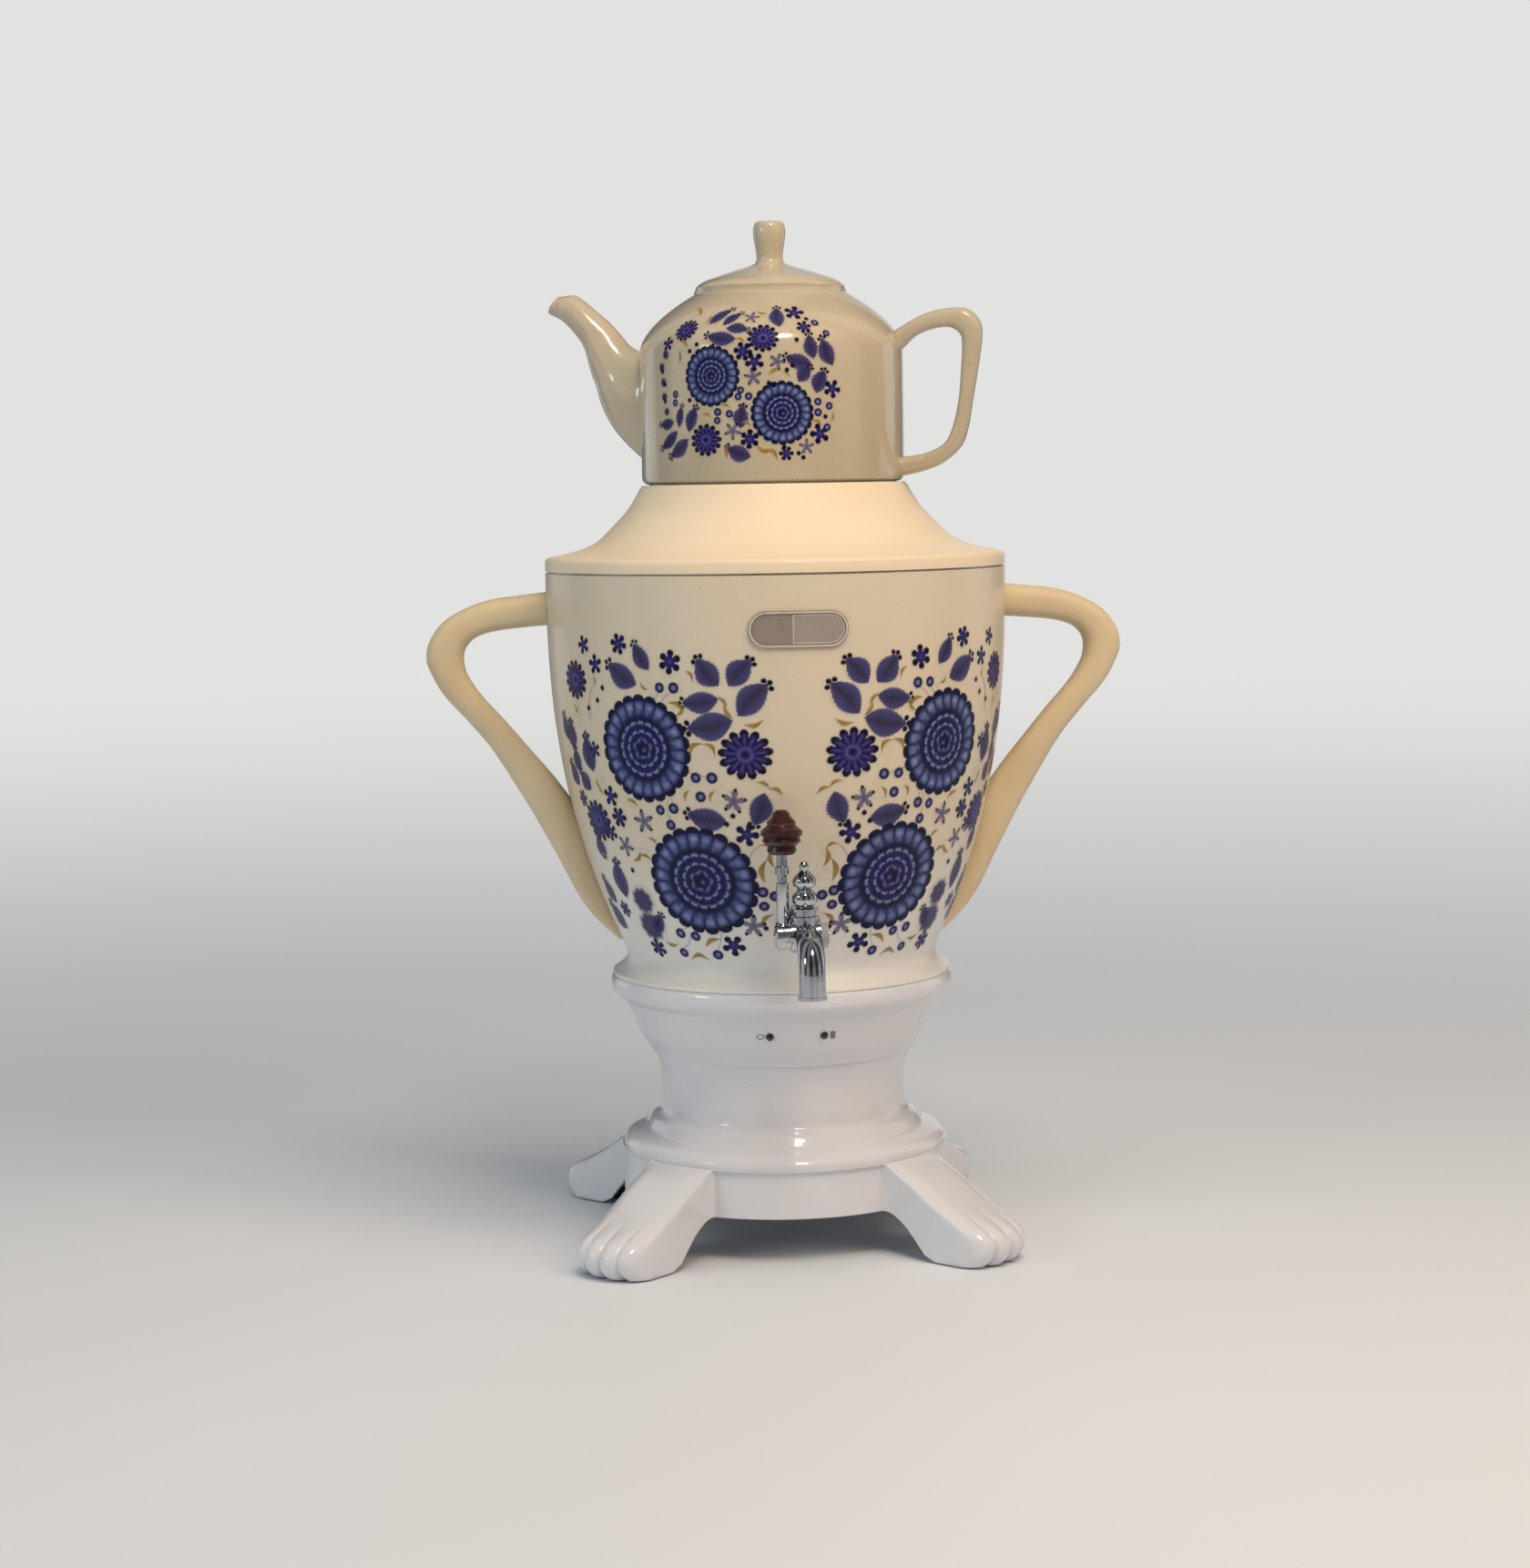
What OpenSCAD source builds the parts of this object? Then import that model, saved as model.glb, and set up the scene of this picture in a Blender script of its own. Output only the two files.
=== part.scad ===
// Electric samovar: a cast foot on four lion paws, a hollow column with the
// wiring, a bucket-shaped body with a water tank inside, a tap with a key, two
// loop handles, and a cover that carries a porcelain teapot.
// Millimetres. The floor is z = 0, the axis is x = y = 0, the tap is at -Y.

/* [Foot] */
// Height of the foot casting, from the floor to the column
foot_h = 45; // [40:1:52]
// Radius of the ring at the top of the foot
foot_ring_r = 81; // [76:1:86]
// Reach of a paw from the axis
paw_reach = 138; // [128:1:150]
// Half the width of a paw
paw_half_w = 19.5; // [17:0.5:24]
// Number of toes on a paw
paw_toes = 4; // [3:1:5]
// Height of the toes
toe_h = 2.6; // [0.5:0.1:3]
// How far the outer toes stand back behind the middle ones
toe_back = 9; // [4:1:11]
// Height of the arch between two paws
arch_h = 22; // [18:1:27]
// Distance from the axis at which the arch comes down to the floor
arch_out = 106; // [103:1:110]
// How far the apron over the arch is set in under the ring
apron_recess = 2; // [1:0.5:3]
// How far the apron leans outwards
apron_lean = 1.5; // [0:0.5:3]
// Wall of the foot casting
foot_wall = 3; // [2.5:0.5:4]
// Width of the ledge that the column is screwed to
ledge_w = 17; // [15:1:22]
// Radius of a rubber pad
pad_r = 8; // [7:0.5:10]
// Height of a rubber pad
pad_h = 6; // [5:0.5:8]
// Radius of the post that holds a pad
post_r = 4.5; // [3.5:0.5:5]
// Distance of a pad from the axis
pad_out = 112; // [106:1:114]
// Gap between the casting's lower edge and the floor
edge_lift = 0.8; // [0.5:0.1:2]

/* [Column] */
// Height of the column
column_h = 86.2; // [80:1:100]
// How far the column's base is set in from the foot's ring
base_step = 1; // [0.5:0.5:3]
// Radius of the column at its waist
column_waist_r = 60.5; // [57:0.5:63]
// Radius of the collar at the top of the column
collar_r = 85; // [82:1:90]
// Wall of the column
column_wall = 2.5; // [2:0.25:3]
// Radius of the opening in the column's top deck
deck_hole_r = 58; // [50:1:62]
// Radius of an indicator lamp's lens
lamp_r = 2; // [1.5:0.25:3]
// Sideways distance of a lamp from the middle
lamp_side = 13; // [9:1:20]
// Height of the lamps above the foot
lamp_up = 64; // [61:1:68]

/* [Back panel] */
// Width of the recessed panel at the back
panel_w = 57.6; // [54:0.2:64]
// Height of the recessed panel
panel_h = 28.6; // [27:0.2:34]
// Distance of the panel's face from the axis
panel_out = 49; // [46:0.5:50]
// Height of the panel's middle above the foot
panel_up = 31.5; // [28:0.5:36]
// Wall of the panel
panel_wall = 2; // [1.5:0.25:2.5]
// Width of the power inlet
inlet_w = 28; // [26:0.5:28]
// Height of the power inlet
inlet_h = 21; // [19:0.5:22]
// Depth of the power inlet behind its face
inlet_deep = 17; // [15:0.5:20]
// Width of the switch's rocker
rocker_w = 10.8; // [9:0.2:11]
// Half the length of the rocker
rocker_half = 7; // [6:0.5:7.5]
// Angle of the rocker to each side of its middle
rocker_tilt = 12; // [8:1:14]

/* [Body] */
// Height of the outer body
body_h = 198.3; // [180:1:220]
// Radius of the body at its rim
rim_r = 113; // [108:1:118]
// Radius of the body at its waist
body_waist_r = 76.5; // [74:0.5:80]
// How far the foot of the body flares out below the waist
body_flare = 7.5; // [5:0.5:8]
// How fast the wall bends from the waist to the rim
wall_bend = 2.55; // [2:0.05:3]
// Thickness of the sheet steel
sheet = 1; // [0.8:0.1:1.2]
// Gap between the outer body and the tank
tank_gap = 6; // [5:0.5:8]
// Height of the tank's floor above the column
tank_up = 16.8; // [15:0.2:22]
// Width of the body's badge
badge_w = 46.5; // [36:0.5:56]
// Height of the badge
badge_h = 17; // [12:0.5:20]
// Distance of the badge's middle below the rim
badge_down = 24.8; // [20:0.2:34]

/* [Heater] */
// Radius of the heater plate
heater_r = 45; // [40:1:50]
// Thickness of the heater plate
heater_h = 6; // [4:0.5:7]
// Radius of the heating element's ring
element_ring_r = 38; // [30:1:39]
// Radius of the heating element's tube
element_r = 4; // [3:0.25:4.5]

/* [Cover] */
// Height of the cover
cover_h = 40.8; // [36:0.2:50]
// Radius of the cover's top
cover_top_r = 65.3; // [63:0.1:70]
// Radius of the hole in the cover that lets steam through
steam_r = 45; // [35:1:50]
// Depth of the teapot's seat in the cover
seat_deep = 3; // [2:0.2:4]
// Height of the skirt that centres the cover in the tank
skirt_h = 9; // [6:0.5:14]

/* [Teapot] */
// Turn of the teapot on the cover, in degrees
teapot_turn = -18.5; // [-90:0.5:90]
// Radius of the teapot
pot_r = 64.5; // [62:0.1:66]
// Height of the teapot up to its mouth
pot_h = 93.7; // [86:0.2:104]
// Height of the teapot's upright wall
pot_wall_h = 64; // [58:1:70]
// Radius of the teapot's neck
pot_neck_r = 37.5; // [35:0.5:40]
// Radius of the teapot's mouth
pot_mouth_r = 31; // [28:0.5:32]
// Wall of the teapot
pot_wall = 3.5; // [3:0.25:4]
// Reach of the spout beyond the teapot's wall
spout_reach = 49; // [42:1:56]
// Wall of the spout
spout_wall = 2; // [1.6:0.1:2.4]
// Reach of the teapot's handle beyond its wall
ear_reach = 40; // [36:1:46]
// Half the thickness of the teapot's handle
ear_half_t = 5; // [4:0.25:6]
// Height of the lid's knob above the teapot's mouth
lid_h = 33.6; // [28:0.2:38]

/* [Handles] */
// Reach of a body handle beyond the rim
handle_reach = 59; // [50:1:66]
// Half the thickness of a body handle
handle_half_t = 8; // [6.5:0.25:9]

/* [Tap] */
// Height of the tap's axis above the column
tap_up = 32.8; // [31:0.2:38]
// Bore of the tap's barrel, its radius
tap_bore_r = 4.4; // [3.6:0.1:4.6]
// Wall of the tap's tubes
tap_wall = 1.8; // [1.5:0.1:2]
// Distance of the plug from the samovar's axis
plug_out = 119; // [117:0.5:124]
// Radius of the plug that turns across the tap
plug_r = 5.2; // [5:0.1:5.4]
// Wall round the plug
plug_wall = 2.2; // [1.8:0.1:2.4]
// Distance of the outlet from the samovar's axis
outlet_out = 148; // [145:0.5:152]
// Length of the outlet below the barrel's axis
outlet_drop = 25; // [21:0.5:27]
// Width of the key's hub
hub_w = 6; // [6:0.2:8]
// Radius of the key's knob
knob_r = 9.6; // [8:0.1:10]
// Height of the key's knob
knob_h = 21; // [18:0.5:24]

/* [Fits] */
// Running gap of the plug in the tap
running_gap = 0.05; // [0.03:0.01:0.08]
// Gap round a piece that drops in loosely
drop_gap = 0.6; // [0.4:0.1:1]
// Gap round a piece that passes through a hole
hole_gap = 0.2; // [0.1:0.05:0.3]
// Radius of a machine screw's shank
screw_r = 2; // [1.5:0.25:2]

/* [Hidden] */

white = [0.93, 0.92, 0.89];
cream = [0.93, 0.89, 0.78];
ivory = [0.85, 0.79, 0.62];
steel = [0.72, 0.73, 0.75];
chrome = [0.80, 0.81, 0.83];
rubber = [0.16, 0.16, 0.17];
plastic = [0.10, 0.10, 0.11];
brass = [0.76, 0.62, 0.32];
dark_red = [0.32, 0.06, 0.05];
lamp_dark = [0.12, 0.08, 0.08];

fine = 96;
small = 32;
eps = 0.01;

column_z = foot_h;
column_base_r = foot_ring_r - base_step;
body_z = column_z + column_h;
rim_z = body_z + body_h;
tank_z = body_z + tank_up;
cover_z = rim_z + sheet;
pot_z = cover_z + cover_h;
tap_z = body_z + tap_up;

plate_t = 2.5;
plate_r = foot_ring_r - apron_recess - foot_wall - 1;
plate_z = arch_h + foot_wall;
boss_r = 4.5;
boss_out = foot_ring_r - 11;
screw_hole_r = screw_r;
head_r = 3.6;
head_h = 2.2;
rim_curve_z = 11.4;
pot_base_gap = 0.4;
hem_w = 5;

// ---- curves -------------------------------------------------------------

function mix(a, b, s) = a + (b - a)*s;

// 1 up to lo, 0 from hi on, smooth between them
function fade(x, lo, hi) =
    let (u = min(1, max(0, (x - lo)/(hi - lo)))) 1 - u*u*(3 - 2*u);

function spline(a, b, c, d, t) =
    0.5*((2*b) + (c - a)*t + (2*a - 5*b + 4*c - d)*t*t + (3*b - a - 3*c + d)*t*t*t);

// The point at the share u of a smooth curve through pts
function along(pts, u) =
    let (n = len(pts) - 1, k = min(floor(u*n), n - 1))
    spline(pts[max(k - 1, 0)], pts[k], pts[k + 1], pts[min(k + 2, n)], u*n - k);

function curve(pts, steps) = [for (i = [0:steps]) along(pts, i/steps)];

// The same point moved by d to the left of the way the curve runs
function beside(pts, u, d) =
    let (way = along(pts, min(u + 0.01, 1)) - along(pts, max(u - 0.01, 0)))
    along(pts, u) + d*[-way[1], way[0]]/norm(way);

// Every point of an outline moved by d to the left of the way it runs
function inset(pts, d) = [
    for (i = [0:len(pts) - 1])
        let (way = pts[min(i + 1, len(pts) - 1)] - pts[max(i - 1, 0)])
        pts[i] + d*[-way[1], way[0]]/norm(way)
];

function reverse(pts) = [for (i = [len(pts) - 1:-1:0]) pts[i]];

// Shares of a radius and a height turned into millimetres
function place(shares, r0, r1, z0, h) =
    [for (p = shares) [mix(r0, r1, p[0]), z0 + h*p[1]]];

// ---- solids -------------------------------------------------------------

// A solid through rings of points; loop joins the last ring to the first
module skin(rings, loop = false) {
    n = len(rings[0]);
    rows = len(rings);
    points = [for (ring = rings) each ring];
    sides = [
        for (i = [0:rows - (loop ? 1 : 2)], k = [0:n - 1])
            let (a = i*n + k, b = i*n + (k + 1)%n, c = ((i + 1)%rows)*n + (k + 1)%n, d = ((i + 1)%rows)*n + k)
            each [[a, b, c], [a, c, d]]
    ];
    ends = loop ? [] : [[for (k = [n - 1:-1:0]) k], [for (k = [0:n - 1]) (rows - 1)*n + k]];
    polyhedron(points = points, faces = concat(sides, ends), convexity = 8);
}

module turned(pts, segments = fine) {
    rotate_extrude($fn = segments) polygon(pts);
}

module ring(r0, r1, z0, h, segments = fine) {
    translate([0, 0, z0]) difference() {
        cylinder(r = r1, h = h, $fn = segments);
        translate([0, 0, -1]) cylinder(r = r0, h = h + 2, $fn = segments);
    }
}

// A block centred on x and z, from y0 to y1
module block_y(w, y0, y1, z0, z1) {
    translate([-w/2, y0, z0]) cube([w, y1 - y0, z1 - z0]);
}

// A rod along -Y at the height z, from the distance y0 to y1
module rod_out(r, y0, y1, z, segments = small) {
    translate([0, -y0, z]) rotate([90, 0, 0]) cylinder(r = r, h = y1 - y0, $fn = segments);
}

module round_about(n, first = 0) {
    for (i = [0:n - 1]) rotate([0, 0, first + i*360/n]) children();
}

// A round lead along a smooth curve through pts
module lead(pts, r, steps = 12, sides_n = 8) {
    skin([
        for (i = [0:steps])
            let (
                u = i/steps,
                way = along(pts, min(u + 0.01, 1)) - along(pts, max(u - 0.01, 0)),
                across = cross(way, [1, 0, 0])/norm(cross(way, [1, 0, 0])),
                up = cross(across, way)/norm(way)
            )
            [for (k = [0:sides_n - 1]) along(pts, u) + r*(across*cos(360*k/sides_n) + up*sin(360*k/sides_n))]
    ]);
}

// A pan-head screw that points down, its head resting on z = 0
module screw(length) {
    translate([0, 0, -length]) cylinder(r = screw_r, h = length, $fn = small);
    cylinder(r = head_r, h = head_h, $fn = small);
}

// ---- foot ---------------------------------------------------------------

// The leg's back in shares of the paw's reach and the foot's height
leg_shares = [[0, 1], [0.14, 0.93], [0.29, 0.82], [0.47, 0.67], [0.72, 0.5], [0.91, 0.37],
    [1, 0.24], [0.985, 0.1], [0.9, 0]];
leg_line = place(leg_shares, foot_ring_r, paw_reach, edge_lift, foot_h - edge_lift);
arch_shares = [[0, 1], [0.23, 0.92], [0.54, 0.64], [0.85, 0.2], [1, 0]];
arch_line = curve(place(arch_shares, foot_ring_r - 1, arch_out, edge_lift, arch_h - edge_lift), 12);
leg_climb = [for (t = [0:0.035:0.7]) concat(along(leg_line, t), t)];
climb_share = [for (c = leg_climb) [c[0], c[2]]];
climb_height = [for (c = leg_climb) [c[0], c[1]]];
outer_rows = [0, 0.04, 0.1, each [0.2:0.1:0.6], 0.67, 0.74, 0.81, 0.875, 0.94, 1];
inner_rows = [1, 0.83, 0.67, 0.5, 0.33, 0.17, 0];
toe_steps = [for (i = [-8:8]) i/8];
side_steps = [for (i = [1:6]) i/6, for (i = [1:4]) 1 + i/5];
side_end = 18.5;
side_fillet = 5;

function rise(x, lo, hi) = 1 - fade(x, lo, hi);

// How far the edge of a leg stands back at the share t down the leg
function set_back(t) = toe_back*rise(t, 0.35, 0.95);

// Angle from the middle of a leg to its edge
function leg_edge(t, wall) =
    asin((paw_half_w - wall)/(beside(leg_line, t, -wall)[0] - set_back(t)));

function polar(turn, r, z, t) = [r*cos(turn), r*sin(turn), t == 0 ? foot_h : max(edge_lift, z)];

// A point on a leg's back; side runs from -1 to 1 across it
function leg_point(middle, side, t, wall) =
    let (
        lobe = pow(abs(sin(90*paw_toes*side)), 0.55) - 0.35,
        p = beside(leg_line, t, wall > 0 ? -wall : toe_h*rise(t, 0.42, 0.8)*lobe)
    )
    polar(middle + side*leg_edge(t, wall), p[0] - set_back(t)*pow(abs(side), 3), p[1], t);

// A point on a leg's side wall, where side is up to 1, or on the apron, from 1 to 2
function wall_point(middle, side, t, wall) =
    let (
        s = abs(side),
        turn = s < 1 ? mix(leg_edge(t, wall), side_end, s) : mix(side_end, 45, s - 1),
        leg_r = (paw_half_w - wall)/sin(turn),
        apron_r = foot_ring_r - wall - apron_recess*rise(t, 0, 0.1) + apron_lean*t,
        fillet = side_fillet*rise(t, 0, 0.1) + eps,
        r = max(leg_r, apron_r) + pow(max(fillet - abs(leg_r - apron_r), 0), 2)/4/fillet,
        start = lookup(r + wall, climb_share),
        high = r > foot_ring_r - wall + eps ? lookup(r + wall, climb_height) - wall : foot_h
    )
    polar(middle + sign(side)*turn, r, mix(high, lookup(r, arch_line), max(0, t - start)/(1 - start)), t);

function foot_row(t, wall) = [
    for (middle = [45:90:315]) each [
        for (side = reverse(side_steps)) wall_point(middle, -side, t, wall),
        for (side = toe_steps) leg_point(middle, side, t, wall),
        for (side = side_steps) wall_point(middle, side, t, wall),
        wall_point(middle, 2, t, wall)
    ]
];

module foot_casting() {
    skin(concat(
        [for (t = outer_rows) foot_row(t, 0)],
        [for (t = inner_rows) foot_row(t, foot_wall)]
    ), loop = true);
}

// Height of the leg's back at the distance r from the axis
function leg_height(r) = lookup(r, [for (i = [0:6]) leg_line[i]]);

post_z = pad_h/4;
post_top = leg_height(pad_out + post_r) - foot_wall/3;
ledge_h = 4;

module foot() {
    color(white) difference() {
        union() {
            foot_casting();
            ring(foot_ring_r - ledge_w, foot_ring_r - apron_recess - foot_wall/2, foot_h - ledge_h, ledge_h);
            round_about(4) translate([boss_out, 0, plate_z + plate_t])
                cylinder(r = boss_r, h = foot_h - ledge_h - plate_z - plate_t + eps, $fn = small);
            round_about(4, 45) translate([pad_out, 0, post_z])
                cylinder(r = post_r, h = post_top - post_z, $fn = small);
        }
        round_about(4) translate([boss_out, 0, plate_z])
            cylinder(r = screw_hole_r, h = foot_h - ledge_h - plate_z, $fn = small);
        round_about(4, 45) translate([boss_out, 0, foot_h - ledge_h - 1])
            cylinder(r = screw_hole_r, h = ledge_h + 2, $fn = small);
    }
}

module foot_pads() {
    color(rubber) round_about(4, 45) translate([pad_out, 0, 0]) difference() {
        cylinder(r = pad_r, h = pad_h, $fn = small);
        translate([0, 0, post_z]) cylinder(r = post_r, h = pad_h, $fn = small);
    }
}

module bottom_plate() {
    color(steel) difference() {
        translate([0, 0, plate_z]) cylinder(r = plate_r, h = plate_t, $fn = fine);
        round_about(4) translate([boss_out, 0, plate_z - 1])
            cylinder(r = screw_hole_r, h = plate_t + 2, $fn = small);
        round_about(6) translate([0, 0, plate_z - 1]) for (out = [18, 30, 42])
            translate([out, 0, 0]) cylinder(r = 2.5, h = plate_t + 2, $fn = small);
    }
}

module bottom_screws() {
    color(steel) round_about(4) translate([boss_out, 0, plate_z]) mirror([0, 0, 1])
        screw(foot_h - ledge_h - plate_z);
}

// ---- column -------------------------------------------------------------

lower_shares = [[0, 0.029], [0.119, 0.064], [0.357, 0.087], [0.548, 0.104], [0.643, 0.133],
    [0.738, 0.162], [0.905, 0.191], [0.971, 0.232], [1, 0.325]];
waist_shares = [[0, 0.325], [0.023, 0.429], [0.1, 0.505], [0.154, 0.548]];
bowl_shares = [[0.215, 0.5545], [0.288, 0.592], [0.442, 0.661], [0.558, 0.742], [0.673, 0.812],
    [0.754, 0.853]];
lip_shares = [[0.865, 0.872], [0.973, 0.908], [1, 0.951], [0.97, 0.985], [0.923, 1]];
function column_part(shares, r0, r1) = place(shares, r0, r1, column_z, column_h);
column_outer = concat(
    [[column_base_r, column_z]],
    curve(column_part(lower_shares, column_base_r, column_waist_r), 24),
    curve(column_part(waist_shares, column_waist_r, collar_r), 8),
    curve(column_part(bowl_shares, column_waist_r, collar_r), 15),
    curve(column_part(lip_shares, column_waist_r, collar_r), 12)
);
inner_low = [for (i = [0, 2, 4, 6, 8]) column_part(lower_shares, column_base_r, column_waist_r)[i]];
inner_high = concat(
    [for (i = [2]) column_part(waist_shares, column_waist_r, collar_r)[i]],
    [for (i = [1, 3, 5]) column_part(bowl_shares, column_waist_r, collar_r)[i]]
);
column_flange = 2.5;
column_inner = [
    for (p = inset(concat(inner_low, inner_high), column_wall))
        if (p[1] > column_z + column_flange + 0.5 && p[1] < body_z - 2*column_flange) p
];

module column_full() {
    turned(concat([[0, column_z]], column_outer, [[0, body_z]]));
}

module column_solid() {
    turned(concat(
        [[foot_ring_r - ledge_w, column_z]],
        column_outer,
        [[deck_hole_r, body_z], [deck_hole_r, body_z - column_flange],
            [collar_r - 2*column_wall, body_z - column_flange],
            [collar_r - 2*column_wall, body_z - 2*column_flange]],
        reverse(column_inner),
        [[column_base_r - 2*column_wall, column_z + column_flange + 0.4],
            [column_base_r - 2*column_wall, column_z + column_flange],
            [foot_ring_r - ledge_w, column_z + column_flange]]
    ));
}

deck_screw_out = collar_r - 14;

module column() {
    color(white) difference() {
        column_solid();
        block_y(panel_w + 2*hole_gap, panel_out - 5, panel_out + 20,
            panel_mid - panel_h/2 - hole_gap, panel_mid + panel_h/2 + hole_gap);
        for (side = [-1, 1]) lamp_place(side) cylinder(r = lamp_r, h = 40, center = true, $fn = small);
        round_about(4, 45) translate([deck_screw_out, 0, body_z - 10])
            cylinder(r = screw_hole_r, h = 20, $fn = small);
        round_about(4, 45) translate([boss_out, 0, column_z - 1])
            cylinder(r = screw_hole_r, h = column_flange + 2, $fn = small);
    }
}

// Screws that hold the column down on the foot's ledge
module foot_screws() {
    color(steel) round_about(4, 45) translate([boss_out, 0, foot_h - ledge_h]) mirror([0, 0, 1])
        screw(ledge_h + column_flange + 2);
}

// Screws that hold the body down on the column's deck
module deck_screws() {
    color(steel) round_about(4, 45) translate([deck_screw_out, 0, body_z + sheet])
        screw(sheet + column_flange + 4);
}

lamp_z = column_z + lamp_up;
lamp_wall_r = lookup(lamp_z, [for (p = column_outer) if (p[1] > column_z + column_h/3) [p[1], p[0]]]);
lamp_turn = asin(lamp_side/lamp_wall_r);

module lamp_place(side) {
    rotate([0, 0, -90 + side*lamp_turn]) translate([lamp_wall_r, 0, lamp_z]) rotate([0, 90, 0]) children();
}

module lamp(side) {
    color(lamp_dark) lamp_place(side) {
        sphere(r = lamp_r, $fn = small);
        translate([0, 0, -12]) cylinder(r = lamp_r, h = 12, $fn = small);
        translate([0, 0, -16]) cylinder(r = 1.6*lamp_r, h = 10, $fn = small);
    }
}

// ---- back panel ---------------------------------------------------------

panel_mid = column_z + panel_up;
panel_deep = 2.5;
bezel = 2;
inlet_x = 9.5;
switch_x = -15.5;
housing_w = rocker_w + 2*bezel;
rocker_reach = rocker_half/cos(rocker_tilt) + 1.2;
switch_half_h = rocker_reach + bezel;
rocker_y = panel_out + panel_deep - 2;
rocker_face = 5;
switch_deep = 15;

module rear_panel() {
    color(plastic) difference() {
        intersection() {
            block_y(panel_w, panel_out, panel_out + 20, panel_mid - panel_h/2, panel_mid + panel_h/2);
            column_full();
        }
        block_y(panel_w - 2*panel_wall, panel_out + panel_deep, panel_out + 21,
            panel_mid - panel_h/2 + panel_wall, panel_mid + panel_h/2 - panel_wall);
        translate([inlet_x, 0, 0]) block_y(inlet_w - 2*bezel, panel_out - 1, panel_out + panel_deep + 1,
            panel_mid - inlet_h/2 + bezel, panel_mid + inlet_h/2 - bezel);
        translate([switch_x, 0, 0]) block_y(housing_w, panel_out - 1, panel_out + panel_deep + 1,
            panel_mid - switch_half_h + 1, panel_mid + switch_half_h - 1);
    }
}

inlet_face = panel_out + panel_deep + 2;
socket_wall = 1.6;
pin_deep = 10;
pin_side = 6;
pin_drop = 2;
tab_l = 8;

// The socket's outline: a rectangle with its two upper corners cut off
module socket_outline(w, h, cut) {
    polygon([[-w/2, -h/2], [w/2, -h/2], [w/2, h/2 - cut], [w/2 - cut, h/2], [-w/2 + cut, h/2],
        [-w/2, h/2 - cut]]);
}

module power_inlet() {
    color(plastic) translate([inlet_x, 0, panel_mid]) difference() {
        union() {
            block_y(inlet_w, panel_out + panel_deep, inlet_face, -inlet_h/2, inlet_h/2);
            block_y(inlet_w - 2*bezel, inlet_face - inlet_deep, inlet_face - 1,
                -inlet_h/2 + bezel, inlet_h/2 - bezel);
        }
        translate([0, inlet_face + 1, 0]) rotate([90, 0, 0])
            linear_extrude(inlet_deep - socket_wall + 1)
                socket_outline(inlet_w - 2*bezel - 2*socket_wall, inlet_h - 2*bezel - 2*socket_wall, 4);
    }
}

// Live, neutral and earth pins, with their tabs behind the inlet
module inlet_pins() {
    color(brass) translate([inlet_x, inlet_face - inlet_deep, panel_mid])
        for (p = [[-pin_side, -pin_drop], [0, pin_drop], [pin_side, -pin_drop]]) translate([p[0], 0, p[1]]) {
            translate([-1, socket_wall, -2]) cube([2, pin_deep - socket_wall, 4]);
            translate([-0.5, -tab_l, -1.5]) cube([1, tab_l, 3]);
        }
}

module rocker_outline(grow = 0) {
    rise = rocker_half*tan(rocker_tilt);
    polygon([
        [-rocker_half - grow, rocker_face + rise + grow], [0, rocker_face + grow],
        [rocker_half + grow, rocker_face + rise + grow],
        [rocker_half*0.8 + grow, 0], [2, -2.5 - grow], [-2, -2.5 - grow], [-rocker_half*0.8 - grow, 0]
    ]);
}

// Puts the rocker's outline, drawn as height and depth, at the pivot
module at_pivot(turn) {
    translate([switch_x, rocker_y, panel_mid]) rotate([turn, 0, 0]) children();
}

pivot_r = 1;

module switch_rocker() {
    color(plastic) at_pivot(-rocker_tilt) {
        translate([-rocker_w/2, 0, 0]) rotate([90, 0, 90]) linear_extrude(rocker_w)
            mirror([1, -1]) rocker_outline();
        translate([-rocker_w/2 - 1, 0, 0]) rotate([0, 90, 0])
            cylinder(r = pivot_r, h = rocker_w + 2, $fn = small);
    }
}

module switch_frame() {
    gap = 0.35;
    inner_h = rocker_reach + gap;
    color(plastic) difference() {
        translate([switch_x, 0, panel_mid]) union() {
            block_y(housing_w + 1.6, panel_out + panel_deep, inlet_face, -switch_half_h, switch_half_h);
            block_y(housing_w, panel_out - switch_deep, inlet_face - 1,
                -switch_half_h + 1, switch_half_h - 1);
        }
        translate([switch_x, 0, panel_mid])
            block_y(rocker_w + 2*gap, rocker_y - 4, inlet_face + 1, -inner_h, inner_h);
        at_pivot(0) translate([-rocker_w/2 - 1 - gap, 0, 0]) rotate([0, 90, 0])
            cylinder(r = pivot_r + running_gap, h = rocker_w + 2 + 2*gap, $fn = small);
    }
}

// ---- body ---------------------------------------------------------------

waist_z = body_z + rim_curve_z;

// Radius of the body's outside at the height z above its waist
function wall_r(z) =
    rim_r - (rim_r - body_waist_r)*pow(max(0, (rim_z - z)/(rim_z - waist_z)), wall_bend);

flare_shares = [[1, 0], [0.95, 0.12], [0.66, 0.24], [0.33, 0.42], [0.1, 0.64], [0.02, 0.84], [0.06, 1.05]];
wall_steps = 22;
wall_start = waist_z + 3.5;
body_outer = concat(
    curve([for (p = flare_shares) [body_waist_r + body_flare*p[0], body_z + rim_curve_z*p[1]]], 12),
    [for (i = [0:wall_steps]) let (z = mix(wall_start, rim_z, i/wall_steps)) [wall_r(z), z]]
);
body_inner = [
    for (p = inset(body_outer, sheet)) if (p[1] > body_z + 1.5*sheet && p[1] < rim_z - 1.5*sheet) p
];
lip_in = rim_r - hem_w;
body_flange_r = deck_screw_out - head_r - 2;

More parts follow.
